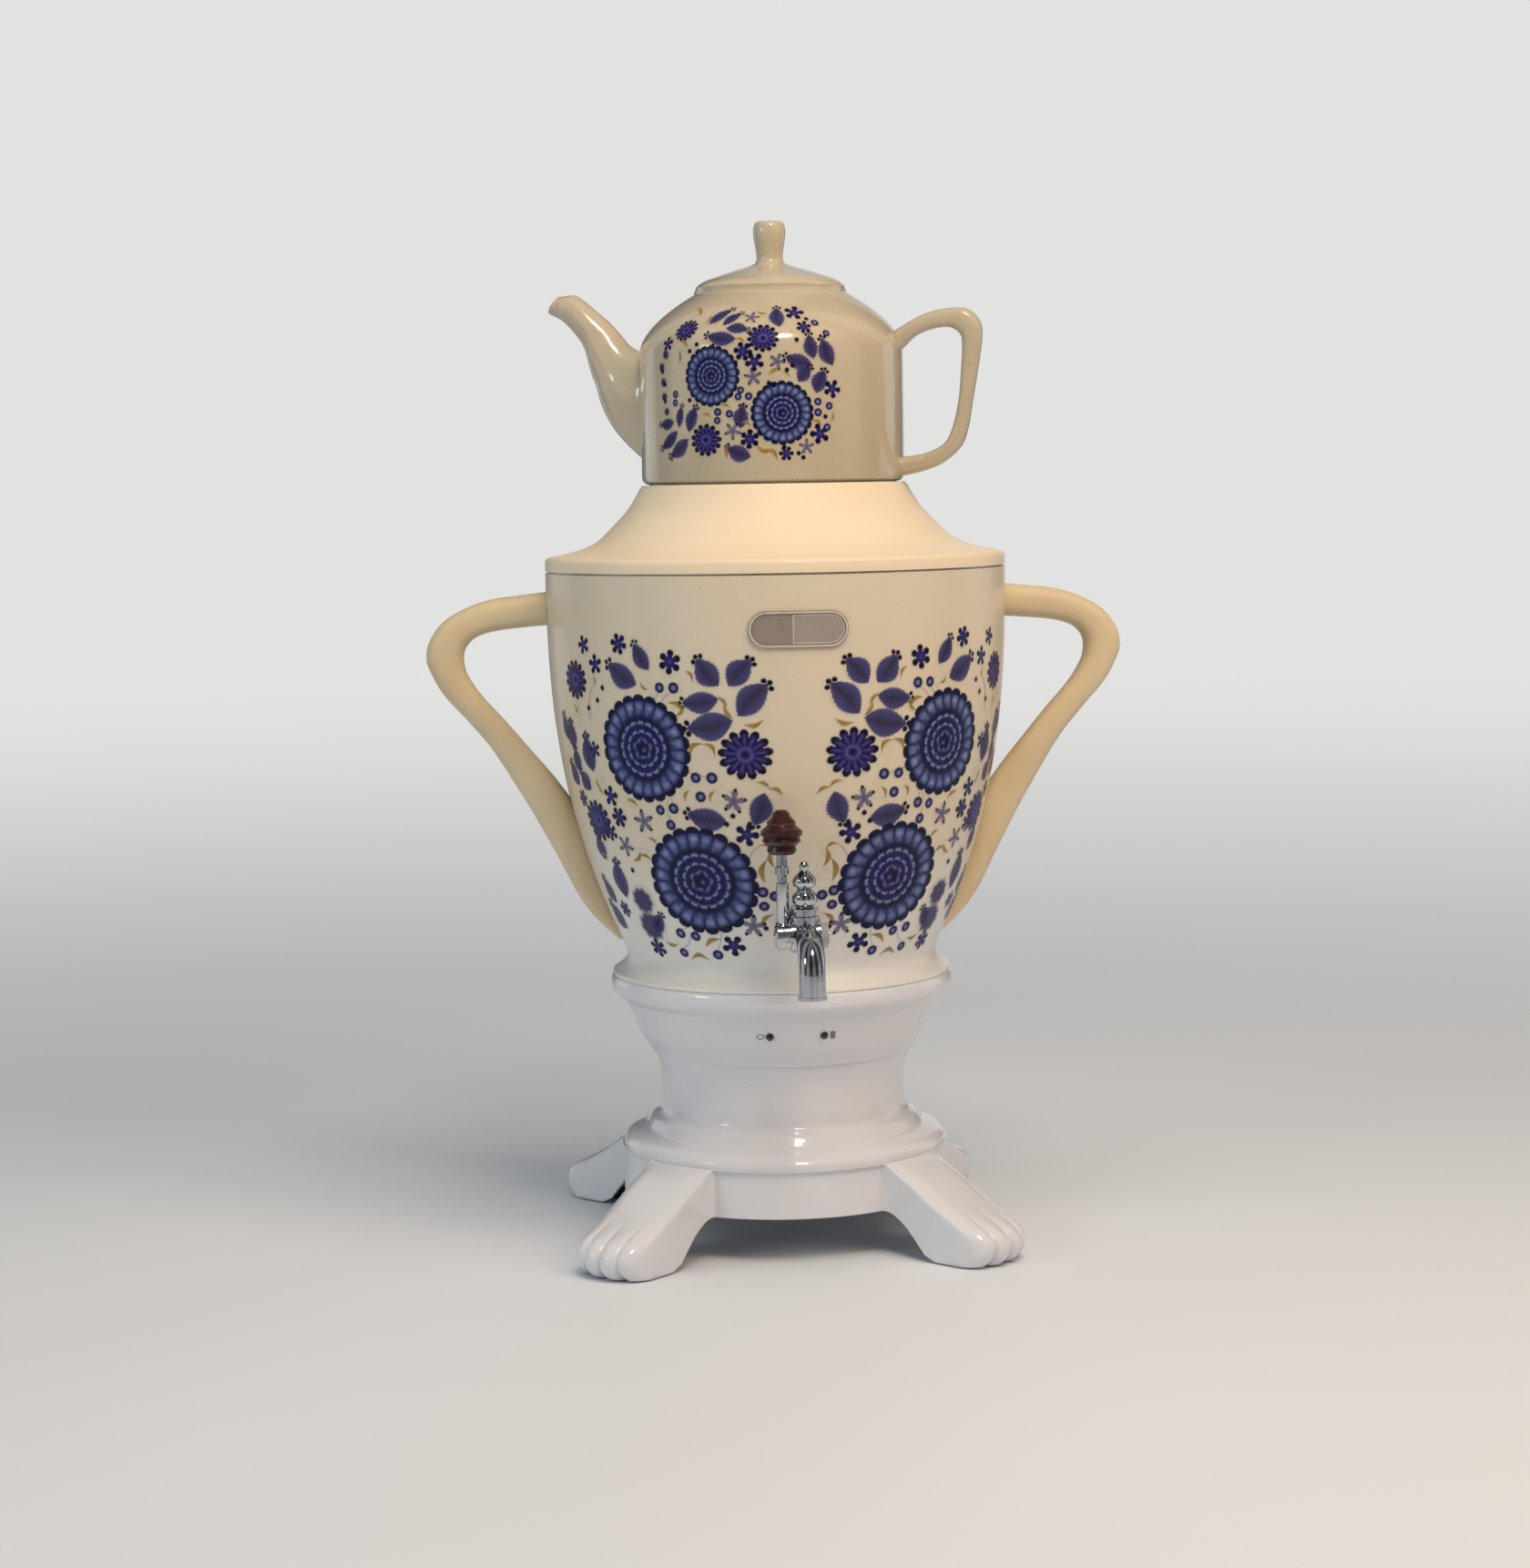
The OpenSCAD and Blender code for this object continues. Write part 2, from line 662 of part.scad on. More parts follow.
// The room that the body takes up, grown by d
module body_full(d = 0) {
    turned(concat([[0, body_z]], [for (p = body_outer) p + [d, 0]], [[0, rim_z]]));
}

module body_solid() {
    turned(concat(
        [[body_flange_r, body_z]], body_outer,
        [[lip_in, rim_z], [lip_in, rim_z - sheet], [rim_r - sheet, rim_z - sheet]],
        reverse(body_inner),
        [[body_waist_r + body_flare - 1.5*sheet, body_z + sheet], [body_flange_r, body_z + sheet]]
    ));
}

barrel_r = tap_bore_r + tap_wall;
handle_screws_at = [badge_down - 7, 134];

// Puts a screw's axis square to the body's wall, with z pointing outwards
module wall_place(side, down) {
    z = rim_z - down;
    lean = atan(wall_r(z + 0.5) - wall_r(z - 0.5));
    translate([side*(wall_r(z) - sheet), 0, z]) rotate([0, side*(90 + lean), 0]) children();
}

module body_shell() {
    color(cream) difference() {
        body_solid();
        rod_out(barrel_r + hole_gap, body_waist_r/2, rim_r, tap_z);
        for (side = [-1, 1], down = handle_screws_at) wall_place(side, down)
            cylinder(r = screw_hole_r, h = 20, center = true, $fn = small);
        round_about(4, 45) translate([deck_screw_out, 0, body_z - 1])
            cylinder(r = screw_hole_r, h = sheet + 2, $fn = small);
    }
}

// A flat rounded bar along X, drawn on the XZ plane and run out along -Y
module stadium(w, h, y0, y1, z) {
    translate([0, -y0, z]) rotate([90, 0, 0]) linear_extrude(y1 - y0) {
        square([w - h, h], center = true);
        for (side = [-1, 1]) translate([side*(w - h)/2, 0]) circle(d = h, $fn = small);
    }
}

badge_t = 1.3;
badge_rim = 1.3;
badge_z = rim_z - badge_down;

module badge() {
    color(steel) difference() {
        intersection() {
            stadium(badge_w, badge_h, rim_r/2, rim_r + 5, badge_z);
            body_full(badge_t);
        }
        body_full();
        difference() {
            stadium(badge_w - 2*badge_rim, badge_h - 2*badge_rim, rim_r/2, rim_r + 5, badge_z);
            body_full(badge_t/2);
        }
    }
}

// ---- body handles -------------------------------------------------------

// Stations down a handle: the outer edge, then the inner edge. Each is a share of the
// reach beyond the wall and a share of the body's height.
handle_stations = [
    [[-0.08, 0.956], [-0.08, 0.874]], [[0.2, 0.947], [0.2, 0.868]], [[0.46, 0.937], [0.42, 0.861]],
    [[0.68, 0.915], [0.57, 0.849]], [[0.86, 0.883], [0.65, 0.832]], [[0.975, 0.838], [0.697, 0.808]],
    [[1.01, 0.797], [0.702, 0.781]], [[0.99, 0.765], [0.68, 0.753]], [[0.895, 0.705], [0.59, 0.705]],
    [[0.715, 0.636], [0.41, 0.636]], [[0.56, 0.568], [0.25, 0.568]], [[0.425, 0.478], [0.08, 0.49]],
    [[0.325, 0.395], [-0.04, 0.407]], [[0.243, 0.296], [-0.05, 0.307]], [[0.19, 0.193], [-0.05, 0.2]],
    [[0.125, 0.133], [-0.05, 0.137]], [[0.03, 0.086], [-0.05, 0.09]]
];
handle_steps = 40;
section_points = 18;

// A rounded section between two points of the XZ plane, half_t thick to each side
function section(a, b, half_t, n = section_points) = [
    for (k = [0:n - 1])
        let (c = cos(360*k/n), s = sin(360*k/n), p = (a + b)/2 + (a - b)/2*sign(c)*pow(abs(c), 0.8))
        [p[0], half_t*sign(s)*pow(abs(s), 0.8), p[1]]
];

function handle_edge(which) = [
    for (p = handle_stations)
        let (z = body_z + body_h*p[which][1]) [wall_r(z) + handle_reach*p[which][0], z]
];

module body_handle(side) {
    outer = handle_edge(0);
    inner = handle_edge(1);
    thin = [for (i = [0:handle_steps]) handle_half_t*mix(1, 0.75, max(0, i/handle_steps - 0.6)/0.4)];
    color(ivory) mirror([side < 0 ? 1 : 0, 0, 0]) difference() {
        skin([for (i = [0:handle_steps])
            section(along(outer, i/handle_steps), along(inner, i/handle_steps), thin[i])]);
        body_full();
        for (down = handle_screws_at) wall_place(1, down)
            cylinder(r = screw_hole_r, h = handle_screw_l, $fn = small);
    }
}

handle_screw_l = 11;
module handle_screws() {
    color(steel) for (side = [-1, 1], down = handle_screws_at) wall_place(side, down)
        translate([0, 0, -0.1]) mirror([0, 0, 1]) screw(handle_screw_l);
}

// ---- tank and heater ----------------------------------------------------

tank_corner = 8;
tank_flange_r = rim_r - 1.5;
function tank_r(z) = wall_r(z) - sheet - tank_gap;
function tank_line(d) =
    let (z0 = tank_z + tank_corner, r0 = tank_r(z0) - tank_corner, r = tank_corner - d)
    concat(
        [[0, tank_z + d]],
        [for (i = [0:4]) [r0 + r*sin(18*i), z0 - r*cos(18*i)]],
        [for (i = [0:16]) let (z = mix(z0 + 2, rim_z, i/16)) [tank_r(z) - d, z]]
    );

module tank_room() {
    turned(concat(tank_line(sheet), [[0, rim_z]]));
}

module tank() {
    color(steel) difference() {
        turned(concat(
            tank_line(0),
            [[tank_flange_r, rim_z], [tank_flange_r, rim_z + sheet], [tank_r(rim_z) - sheet, rim_z + sheet]],
            reverse(tank_line(sheet))
        ));
        rod_out(barrel_r + hole_gap, body_waist_r/2, rim_r, tap_z);
    }
}

heater_z = tank_z - heater_h;
element_z = heater_z - element_r*0.8;
terminal_turn = 12;
terminal_drop = 12;

module heater_plate() {
    color(steel) translate([0, 0, heater_z]) cylinder(r = heater_r, h = heater_h, $fn = fine);
}

module heating_element() {
    color(steel) {
        translate([0, 0, element_z]) rotate_extrude($fn = fine) translate([element_ring_r, 0])
            intersection() {
                circle(r = element_r, $fn = small);
                translate([-element_r, -element_r]) square([2*element_r, element_r + heater_z - element_z]);
            }
        for (side = [-1, 1]) rotate([0, 0, 90 + side*terminal_turn]) translate([element_ring_r, 0, 0])
            translate([0, 0, element_z - terminal_drop]) cylinder(r = 2, h = terminal_drop, $fn = small);
    }
}

thermostat_h = 9;

module thermostat() {
    color(plastic) translate([0, 0, heater_z - thermostat_h])
        cylinder(r = 9, h = thermostat_h, $fn = small);
}

module thermal_cutout() {
    color(steel) translate([14, -5, heater_z - 6]) cube([16, 10, 6]);
}

// The leads from the inlet and the switch up to the thermostat and the element
lead_r = 1.2;
lead_straight = 5;
lead_gap = 0.1;

// A lead that leaves one point along -Y and reaches the other one from below
module lead_between(from, to) {
    out = [0, -lead_straight, 0];
    down = [0, 0, -lead_straight];
    lead([from - [0, lead_gap, 0], from + out, from + 2*out + [0, 0, lead_straight],
        to + 2*down + [0, -lead_straight, 0],
        to + down, to], lead_r);
}

module heater_leads() {
    lead_z = element_z - terminal_drop;
    tab_y = inlet_face - inlet_deep - tab_l;
    out_x = element_ring_r*sin(terminal_turn);
    out_y = element_ring_r*cos(terminal_turn);
    color(dark_red) {
        lead_between([inlet_x + pin_side, tab_y, panel_mid - pin_drop], [out_x, out_y, lead_z]);
        lead_between([switch_x, panel_out - switch_deep, panel_mid], [-out_x, out_y, lead_z]);
        lead_between([inlet_x - pin_side, tab_y, panel_mid - pin_drop], [0, 0, heater_z - thermostat_h]);
    }
}

// ---- tap ----------------------------------------------------------------

shoulder_r = 10;
shoulder_y = wall_r(tap_z + shoulder_r) + 2;
shoulder_t = 3;
gasket_t = 1;
inner_seat_y = tank_r(tap_z - shoulder_r) - 3.5;
nut_t = 6;
barrel_end = inner_seat_y - nut_t - 2;
housing_r = plug_r + plug_wall;
housing_half = 6.8;
tower_r = housing_half - 0.4;
housing_top = tap_z + 8;
bend_r = 14;
outlet_r = barrel_r;
bend_y = outlet_out - bend_r;

// Lays children, drawn along +Z, along the plug's axis, which is parallel to X
module across_tap() {
    translate([0, -plug_out, tap_z]) rotate([0, 90, 0]) children();
}

// The tap's elbow: from the barrel down to the outlet
module elbow(r) {
    translate([0, -bend_y, tap_z - bend_r]) rotate([0, -90, 0]) rotate([0, 0, -90])
        rotate_extrude(angle = 90, $fn = 64) translate([bend_r, 0]) circle(r = r, $fn = small);
}

module tap_body() {
    color(chrome) difference() {
        union() {
            rod_out(barrel_r, barrel_end, bend_y, tap_z);
            rod_out(shoulder_r, shoulder_y, shoulder_y + shoulder_t, tap_z);
            rod_out(barrel_r + 1, shoulder_y + shoulder_t + 3, shoulder_y + shoulder_t + 5, tap_z);
            translate([0, -plug_out, tap_z - housing_r])
                cylinder(r = tower_r, h = housing_r + housing_top - tap_z, $fn = 64);
            across_tap() cylinder(r = housing_r, h = 2*housing_half, center = true, $fn = 64);
            elbow(outlet_r);
            translate([0, -outlet_out, tap_z - outlet_drop])
                cylinder(r = outlet_r, h = outlet_drop - bend_r, $fn = 64);
            translate([0, -outlet_out, tap_z - outlet_drop]) cylinder(r = outlet_r + 0.5, h = 1.6, $fn = 64);
        }
        rod_out(tap_bore_r, barrel_end - 1, bend_y, tap_z);
        elbow(tap_bore_r);
        translate([0, -outlet_out, tap_z - outlet_drop - 1])
            cylinder(r = tap_bore_r, h = outlet_drop - bend_r + 1, $fn = small);
        across_tap() cylinder(r = plug_r + running_gap, h = 4*housing_half, center = true, $fn = 64);
    }
}

// Wedge that fills the room between the tap's shoulder and the sloping wall
module tap_flange() {
    color(chrome) difference() {
        rod_out(shoulder_r, body_waist_r/2, shoulder_y, tap_z);
        body_full(gasket_t);
        rod_out(barrel_r, 0, rim_r, tap_z);
    }
}

module tap_gasket() {
    color(rubber) difference() {
        intersection() {
            rod_out(shoulder_r, body_waist_r/2, shoulder_y, tap_z);
            body_full(gasket_t);
        }
        body_full();
        rod_out(barrel_r, 0, rim_r, tap_z);
    }
}

module tap_inner_gasket() {
    color(rubber) difference() {
        intersection() {
            rod_out(shoulder_r, inner_seat_y, rim_r, tap_z);
            tank_room();
        }
        rod_out(barrel_r, 0, rim_r, tap_z);
    }
}

module tap_nut() {
    color(steel) difference() {
        translate([0, -inner_seat_y, tap_z]) rotate([-90, 0, 0]) rotate([0, 0, 30])
            cylinder(r = shoulder_r, h = nut_t, $fn = 6);
        rod_out(barrel_r, 0, rim_r, tap_z);
    }
}

// The turned ornament on top of the tap, as radii and heights above the housing
finial_foot = [[tower_r, 0], [tower_r, 1], [5.2, 1.4], [5.2, 3.1], [6.3, 3.5], [6.3, 4.7], [4, 5.2]];
bead_low = [[3.6, 5.4], [5.2, 6.6], [5.8, 9], [5.3, 11.4], [3.6, 13]];
bead_high = [[3.2, 14], [4.8, 14.9], [5.5, 17], [4.8, 19.3], [3, 21.2]];
finial_tip = [[1.8, 22.4], [2.3, 23.6], [2.2, 25], [1.4, 26.2], [0, 26.7]];

module tap_finial() {
    color(chrome) translate([0, -plug_out, housing_top])
        turned(concat([[0, 0]], finial_foot, curve(bead_low, 8), curve(bead_high, 8), finial_tip), 64);
}

hub_gap = 0.3;
hub_r = 6.5;
spigot_r = 3;
tail_r = 2.5;
hub_x = -housing_half - hub_gap - hub_w/2;
nut_x = housing_half + hub_gap;
nut_w = 3.5;

// The plug, with its port upright while the tap is closed
module tap_plug() {
    color(chrome) difference() {
        across_tap() {
            translate([0, 0, -housing_half - hub_gap])
                cylinder(r = plug_r, h = 2*(housing_half + hub_gap), $fn = 64);
            translate([0, 0, hub_x - hub_w/2]) cylinder(r = spigot_r, h = hub_w + 1, $fn = small);
            translate([0, 0, nut_x - 1]) cylinder(r = tail_r, h = nut_w + 1.5, $fn = small);
        }
        translate([0, -plug_out, tap_z])
            cylinder(r = tap_bore_r - 1, h = 4*plug_r, center = true, $fn = small);
    }
}

module plug_nut() {
    color(steel) across_tap() translate([0, 0, nut_x]) difference() {
        cylinder(r = housing_r - 1.5, h = nut_w, $fn = 6);
        translate([0, 0, -1]) cylinder(r = tail_r, h = nut_w + 2, $fn = small);
    }
}

knob_up = 37.7;
stem_rings = [[2.6, 5], [2.6, 8], [2.9, 8.6], [2.9, 24.6], [2.1, 25.4], [2.1, 28], [3.2, 28.8], [3.2, 32],
    [2.5, 33], [2.5, knob_up]];

// The key: a hub with a round cap on the plug, and a ringed stem up to the knob
module tap_key() {
    color(chrome) difference() {
        union() {
            across_tap() {
                translate([0, 0, hub_x - hub_w/2]) cylinder(r = hub_r, h = hub_w, $fn = 64);
                translate([0, 0, hub_x - hub_w/2 - 1])
                    cylinder(r1 = hub_r - 2, r2 = hub_r - 0.8, h = 1, $fn = 64);
            }
            translate([hub_x, -plug_out, tap_z])
                turned(concat([[0, stem_rings[0][1]]], stem_rings, [[0, knob_up]]), small);
        }
        across_tap() translate([0, 0, hub_x - hub_w/2]) cylinder(r = spigot_r, h = hub_w + 1, $fn = small);
    }
}

knob_shares = [[0.36, 0], [0.6, 0.02], [0.72, 0.1], [0.66, 0.2], [0.8, 0.24], [0.93, 0.31], [0.86, 0.39],
    [1, 0.44], [1, 0.52], [0.88, 0.58], [0.74, 0.62], [0.68, 0.66], [0.7, 0.72], [0.54, 0.8], [0.42, 0.86],
    [0.42, 0.91], [0.26, 0.98], [0, 1]];

module tap_knob() {
    color(dark_red) translate([hub_x, -plug_out, tap_z + knob_up])
        turned(concat([[0, 0]], [for (p = knob_shares) [knob_r*p[0], knob_h*p[1]]]), 64);
}

// ---- cover --------------------------------------------------------------

cover_shares = [[1, 0.11], [0.985, 0.145], [0.937, 0.167], [0.811, 0.191], [0.6, 0.26], [0.447, 0.349],
    [0.295, 0.522], [0.159, 0.686], [0.065, 0.85], [0.01, 0.965]];
cover_t = 1.2;
cover_line = concat(
    [[rim_r, cover_z]],
    curve([for (p = cover_shares) [mix(cover_top_r, rim_r, p[0]), cover_z + cover_h*p[1]]], 27)
);
seat_z = pot_z - seat_deep;
seat_r = cover_top_r - 3.8;

module cover() {
    inside = [
        for (p = inset(cover_line, cover_t))
            if (p[1] > cover_z + 1.5*cover_t && p[1] < seat_z - 1.5*cover_t) p
    ];
    color(white) turned(concat(
        [[rim_r - hem_w, cover_z]],
        cover_line,
        [[cover_top_r - 0.8, pot_z], [seat_r + 0.8, pot_z], [seat_r, pot_z - 0.8], [seat_r, seat_z],
            [steam_r, seat_z], [steam_r, seat_z - cover_t], [cover_top_r - cover_t, seat_z - cover_t]],
        reverse(inside),
        [[rim_r - cover_t, cover_z + cover_t], [rim_r - hem_w, cover_z + cover_t]]
    ));
}

skirt_r = tank_r(rim_z) - sheet - drop_gap;

module cover_skirt() {
    color(steel) turned([
        [skirt_r - sheet, cover_z - skirt_h], [skirt_r, cover_z - skirt_h], [skirt_r, cover_z + cover_t],
        [rim_r - hem_w, cover_z + cover_t], [rim_r - hem_w + 3, cover_z + cover_t],
        [rim_r - hem_w + 3, cover_z + cover_t + sheet], [skirt_r - sheet, cover_z + cover_t + sheet]
    ]);
}

// ---- teapot -------------------------------------------------------------

ring_r = seat_r - drop_gap;
shoulder_top = pot_h - 1.5;
function pot_shoulder(z) =
    pot_neck_r + (pot_r - pot_neck_r)*(1 - pow((z - pot_wall_h)/(shoulder_top - pot_wall_h), 1.8));
shoulder_steps = 14;
pot_shape = concat(
    [[ring_r, pot_base_gap], [pot_r - 2, pot_base_gap + 0.3], [pot_r - 0.6, pot_base_gap + 1.4],
        [pot_r, pot_base_gap + 3.2]],
    [for (i = [0:shoulder_steps])
        let (z = mix(pot_wall_h, shoulder_top, 1 - pow(1 - i/shoulder_steps, 1.5))) [pot_shoulder(z), z]]
);
pot_outer = concat([[ring_r, -seat_deep]], pot_shape, [[pot_neck_r - 0.3, pot_h]]);
pot_inner = [for (p = inset(pot_shape, pot_wall)) if (p[1] > pot_wall + 4 && p[0] > pot_mouth_r + 1) p];
pot_floor = pot_base_gap + pot_wall + 0.5;

module at_pot() {
    translate([0, 0, pot_z]) rotate([0, 0, teapot_turn]) children();
}

module pot_full() {
    turned(concat([[0, -seat_deep]], pot_outer, [[0, pot_h]]));
}

strainer_r = 1.75;
strainer_z = 30;

module teapot_body() {
    color(white) at_pot() difference() {
        turned(concat(
            [[ring_r - pot_wall, -seat_deep]],
            pot_outer,
            [[pot_mouth_r, pot_h], [pot_mouth_r, pot_h - 4.5]],
            reverse(pot_inner),
            [[pot_r - pot_wall - 1.2, pot_floor + 1.4], [pot_r - pot_wall - 4, pot_floor], [0, pot_floor],
                [0, pot_base_gap], [ring_r - pot_wall, pot_base_gap]]
        ));
        for (p = concat([[0, 0]], [for (i = [0:5]) 7*[cos(60*i), sin(60*i)]]))
            translate([-pot_r - 5, p[0], strainer_z + p[1]]) rotate([0, 90, 0])
                cylinder(r = strainer_r, h = pot_wall + 8, $fn = 16);
    }
}

// Stations along the spout: the lower edge, the upper edge and the half width. The edges
// are shares of the reach beyond the wall and of the teapot's height.
spout_stations = [
    [[-0.06, 0.12], [-0.06, 0.69], 14], [[0.1, 0.175], [0.04, 0.705], 13.5],
    [[0.31, 0.29], [0.15, 0.74], 12.5], [[0.44, 0.415], [0.21, 0.777], 11],
    [[0.5, 0.522], [0.29, 0.826], 10], [[0.555, 0.6], [0.375, 0.873], 9],
    [[0.615, 0.722], [0.505, 0.93], 8.2], [[0.7, 0.795], [0.61, 0.978], 7.5],
    [[0.84, 0.873], [0.72, 1.011], 6.8], [[0.985, 0.916], [0.858, 1.004], 6.3]
];
spout_steps = 24;
spout_points = 20;
spout_low = [for (s = spout_stations) [pot_r + spout_reach*s[0][0], pot_h*s[0][1]]];
spout_high = [for (s = spout_stations) [pot_r + spout_reach*s[1][0], pot_h*s[1][1]]];
spout_half = [for (s = spout_stations) [s[2], 0]];

// A ring of the spout at the share u, drawn in by d
function spout_ring(u, d) =
    let (
        low = along(spout_low, u), high = along(spout_high, u),
        middle = (low + high)/2, half = (high - low)/2*(1 - d/norm((high - low)/2)),
        w = along(spout_half, u)[0] - d
    )
    [for (k = [0:spout_points - 1])
        let (a = 360*k/spout_points)
        [-middle[0] - half[0]*cos(a), w*sin(a), middle[1] + half[1]*cos(a)]];

module teapot_spout() {
    color(white) at_pot() difference() {
        skin(concat(
            [for (i = [0:spout_steps]) spout_ring(i/spout_steps, 0)],
            [for (i = [0:spout_steps]) let (u = 1 - i/spout_steps) spout_ring(u, spout_wall*mix(1.3, 0.6, u))]
        ), loop = true);
        pot_full();
    }
}

// Stations round the teapot's handle, as for a body handle
ear_stations = [
    [[-0.12, 0.76], [-0.09, 0.64]], [[0.04, 0.803], [0.05, 0.692]], [[0.285, 0.856], [0.2, 0.748]],
    [[0.57, 0.884], [0.41, 0.78]], [[0.825, 0.878], [0.603, 0.785]], [[0.978, 0.813], [0.728, 0.752]],
    [[1, 0.726], [0.757, 0.694]], [[0.937, 0.548], [0.737, 0.548]], [[0.88, 0.413], [0.707, 0.413]],
    [[0.822, 0.273], [0.632, 0.277]], [[0.73, 0.173], [0.525, 0.192]], [[0.5, 0.09], [0.312, 0.147]],
    [[0.212, 0.045], [0.112, 0.132]], [[-0.07, 0.025], [-0.07, 0.124]]
];
ear_steps = 36;

function ear_edge(which) =
    [for (p = ear_stations) [pot_r + ear_reach*p[which][0], pot_h*p[which][1]]];

module teapot_handle() {
    outer = ear_edge(0);
    inner = ear_edge(1);
    color(white) at_pot() difference() {
        skin([for (i = [0:ear_steps])
            section(along(outer, i/ear_steps), along(inner, i/ear_steps), ear_half_t, 14)]);
        pot_full();
    }
}

lid_r = pot_neck_r - 1;
lid_dome = [[1, 0], [0.995, 0.06], [0.9, 0.14], [0.73, 0.21], [0.52, 0.285], [0.3, 0.355], [0.2, 0.4]];
lid_knob = [[0.18, 0.44], [0.178, 0.52], [0.2, 0.68], [0.215, 0.8], [0.212, 0.91], [0.185, 0.98],
    [0.13, 1], [0, 1]];
lid_skirt_r = pot_mouth_r - drop_gap;
lid_skirt_h = 9.5;

module teapot_lid() {
    color(white) at_pot() translate([0, 0, pot_h]) difference() {
        turned(concat(
            [[lid_skirt_r, 0]],
            [for (p = concat(curve(lid_dome, 15), curve(lid_knob, 14))) [lid_r*max(0, p[0]), lid_h*p[1]]],
            [[0, 0.22*lid_h], [0.3*lid_skirt_r, 0.19*lid_h], [0.7*lid_skirt_r, 0.09*lid_h],
                [lid_skirt_r - 3, 0], [lid_skirt_r - 3, -lid_skirt_h], [lid_skirt_r, -lid_skirt_h]]
        ));
        translate([0, 0.45*lid_r, -1]) cylinder(r = 1.2, h = lid_h/2, $fn = small);
    }
}

foot();
foot_pads();
bottom_plate();
bottom_screws();
foot_screws();
column();
rear_panel();
power_inlet();
inlet_pins();
switch_frame();
switch_rocker();
lamp(-1);  // lamp_left
lamp(1);  // lamp_right
deck_screws();
body_shell();
badge();
body_handle(-1);  // handle_left
body_handle(1);  // handle_right
handle_screws();
tank();
heater_plate();
heating_element();
thermostat();
thermal_cutout();
heater_leads();
tap_body();
tap_flange();
tap_gasket();
tap_inner_gasket();
tap_nut();
tap_finial();
tap_plug();
tap_key();
tap_knob();
plug_nut();
cover();
cover_skirt();
teapot_body();
teapot_spout();
teapot_handle();
teapot_lid();
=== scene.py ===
"""The looks of an electric samovar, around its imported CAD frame. Metres; the tap points along -Y."""
import math

import bmesh
import bpy
import numpy as np
from mathutils import Matrix, Quaternion, Vector
from mathutils.bvhtree import BVHTree


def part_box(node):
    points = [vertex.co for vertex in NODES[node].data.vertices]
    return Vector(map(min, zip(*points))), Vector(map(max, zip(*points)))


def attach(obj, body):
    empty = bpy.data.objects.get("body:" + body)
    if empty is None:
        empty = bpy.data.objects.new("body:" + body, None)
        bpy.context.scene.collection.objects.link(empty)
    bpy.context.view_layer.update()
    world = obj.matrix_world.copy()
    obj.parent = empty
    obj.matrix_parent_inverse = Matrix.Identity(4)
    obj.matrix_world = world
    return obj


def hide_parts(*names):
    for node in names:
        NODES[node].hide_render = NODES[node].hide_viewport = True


MM = 0.001
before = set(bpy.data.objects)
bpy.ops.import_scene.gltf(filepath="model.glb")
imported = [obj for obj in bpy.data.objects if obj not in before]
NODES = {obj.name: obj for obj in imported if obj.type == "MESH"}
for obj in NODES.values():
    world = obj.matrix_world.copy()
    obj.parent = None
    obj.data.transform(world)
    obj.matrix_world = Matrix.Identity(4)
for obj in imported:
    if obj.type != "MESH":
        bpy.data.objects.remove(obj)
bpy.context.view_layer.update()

# ---- sizes of the CAD part, in millimetres ----

FOOT_H, COLUMN_H, BODY_H, COVER_H = 45, 86.2, 198.3, 40.8
BODY_Z = FOOT_H + COLUMN_H
RIM_Z = BODY_Z + BODY_H
WAIST_Z = BODY_Z + 11.4
POT_Z = RIM_Z + 1 + COVER_H
RIM_R, WAIST_R, WALL_BEND = 113, 76.5, 2.55
POT_R, POT_H, POT_WALL_H, POT_NECK_R, POT_LIP, POT_BEND = 64.5, 93.7, 64, 37.5, 1.5, 1.8
POT_TURN = math.radians(-18.5)
HANDLE_REACH, HANDLE_HALF_T, THINNER, THINNER_FROM = 59, 8, 0.25, 0.6
SPOUT_REACH, SPOUT_WALL, SPOUT_ROOT, SPOUT_TAPER = 49, 2, 1.3, 0.7
EAR_REACH, EAR_HALF_T = 40, 5


def wall_r(z):
    """Radius of the body's outside at the height z."""
    down = np.maximum(0, (RIM_Z - np.asarray(z, float)) / (RIM_Z - WAIST_Z))
    return RIM_R - (RIM_R - WAIST_R) * down**WALL_BEND


def pot_r(z):
    """Radius of the teapot's outside at the height z above its seat."""
    up = np.clip((np.asarray(z, float) - POT_WALL_H) / (POT_H - POT_LIP - POT_WALL_H), 0, 1)
    return POT_R - (POT_R - POT_NECK_R) * up**POT_BEND


# ---- small helpers ----


def linear(code):
    """A colour such as #d8cdb8 as the linear numbers that Blender wants."""
    values = [int(code[i:i + 2], 16) / 255 for i in (1, 3, 5)]
    return [v / 12.92 if v <= 0.04045 else ((v + 0.055) / 1.055) ** 2.4 for v in values]


def step(low, high, x):
    """0 below low, 1 above high, smooth in between."""
    t = np.clip((x - low) / (high - low), 0, 1)
    return t * t * (3 - 2 * t)


def bump_at(x, middle, width):
    return np.exp(-(((x - middle) / width) ** 2))


def spline(points, u):
    """Catmull-Rom curve through points, at the shares u."""
    points = np.asarray(points, float)
    last = len(points) - 1
    at = np.clip(np.asarray(u, float), 0, 1) * last
    k = np.minimum(np.floor(at).astype(int), last - 1)
    t = (at - k)[:, None]
    a, b = points[np.maximum(k - 1, 0)], points[k]
    c, d = points[k + 1], points[np.minimum(k + 2, last)]
    return 0.5 * (2 * b + (c - a) * t + (2 * a - 5 * b + 4 * c - d) * t**2 + (3 * b - a - 3 * c + d) * t**3)


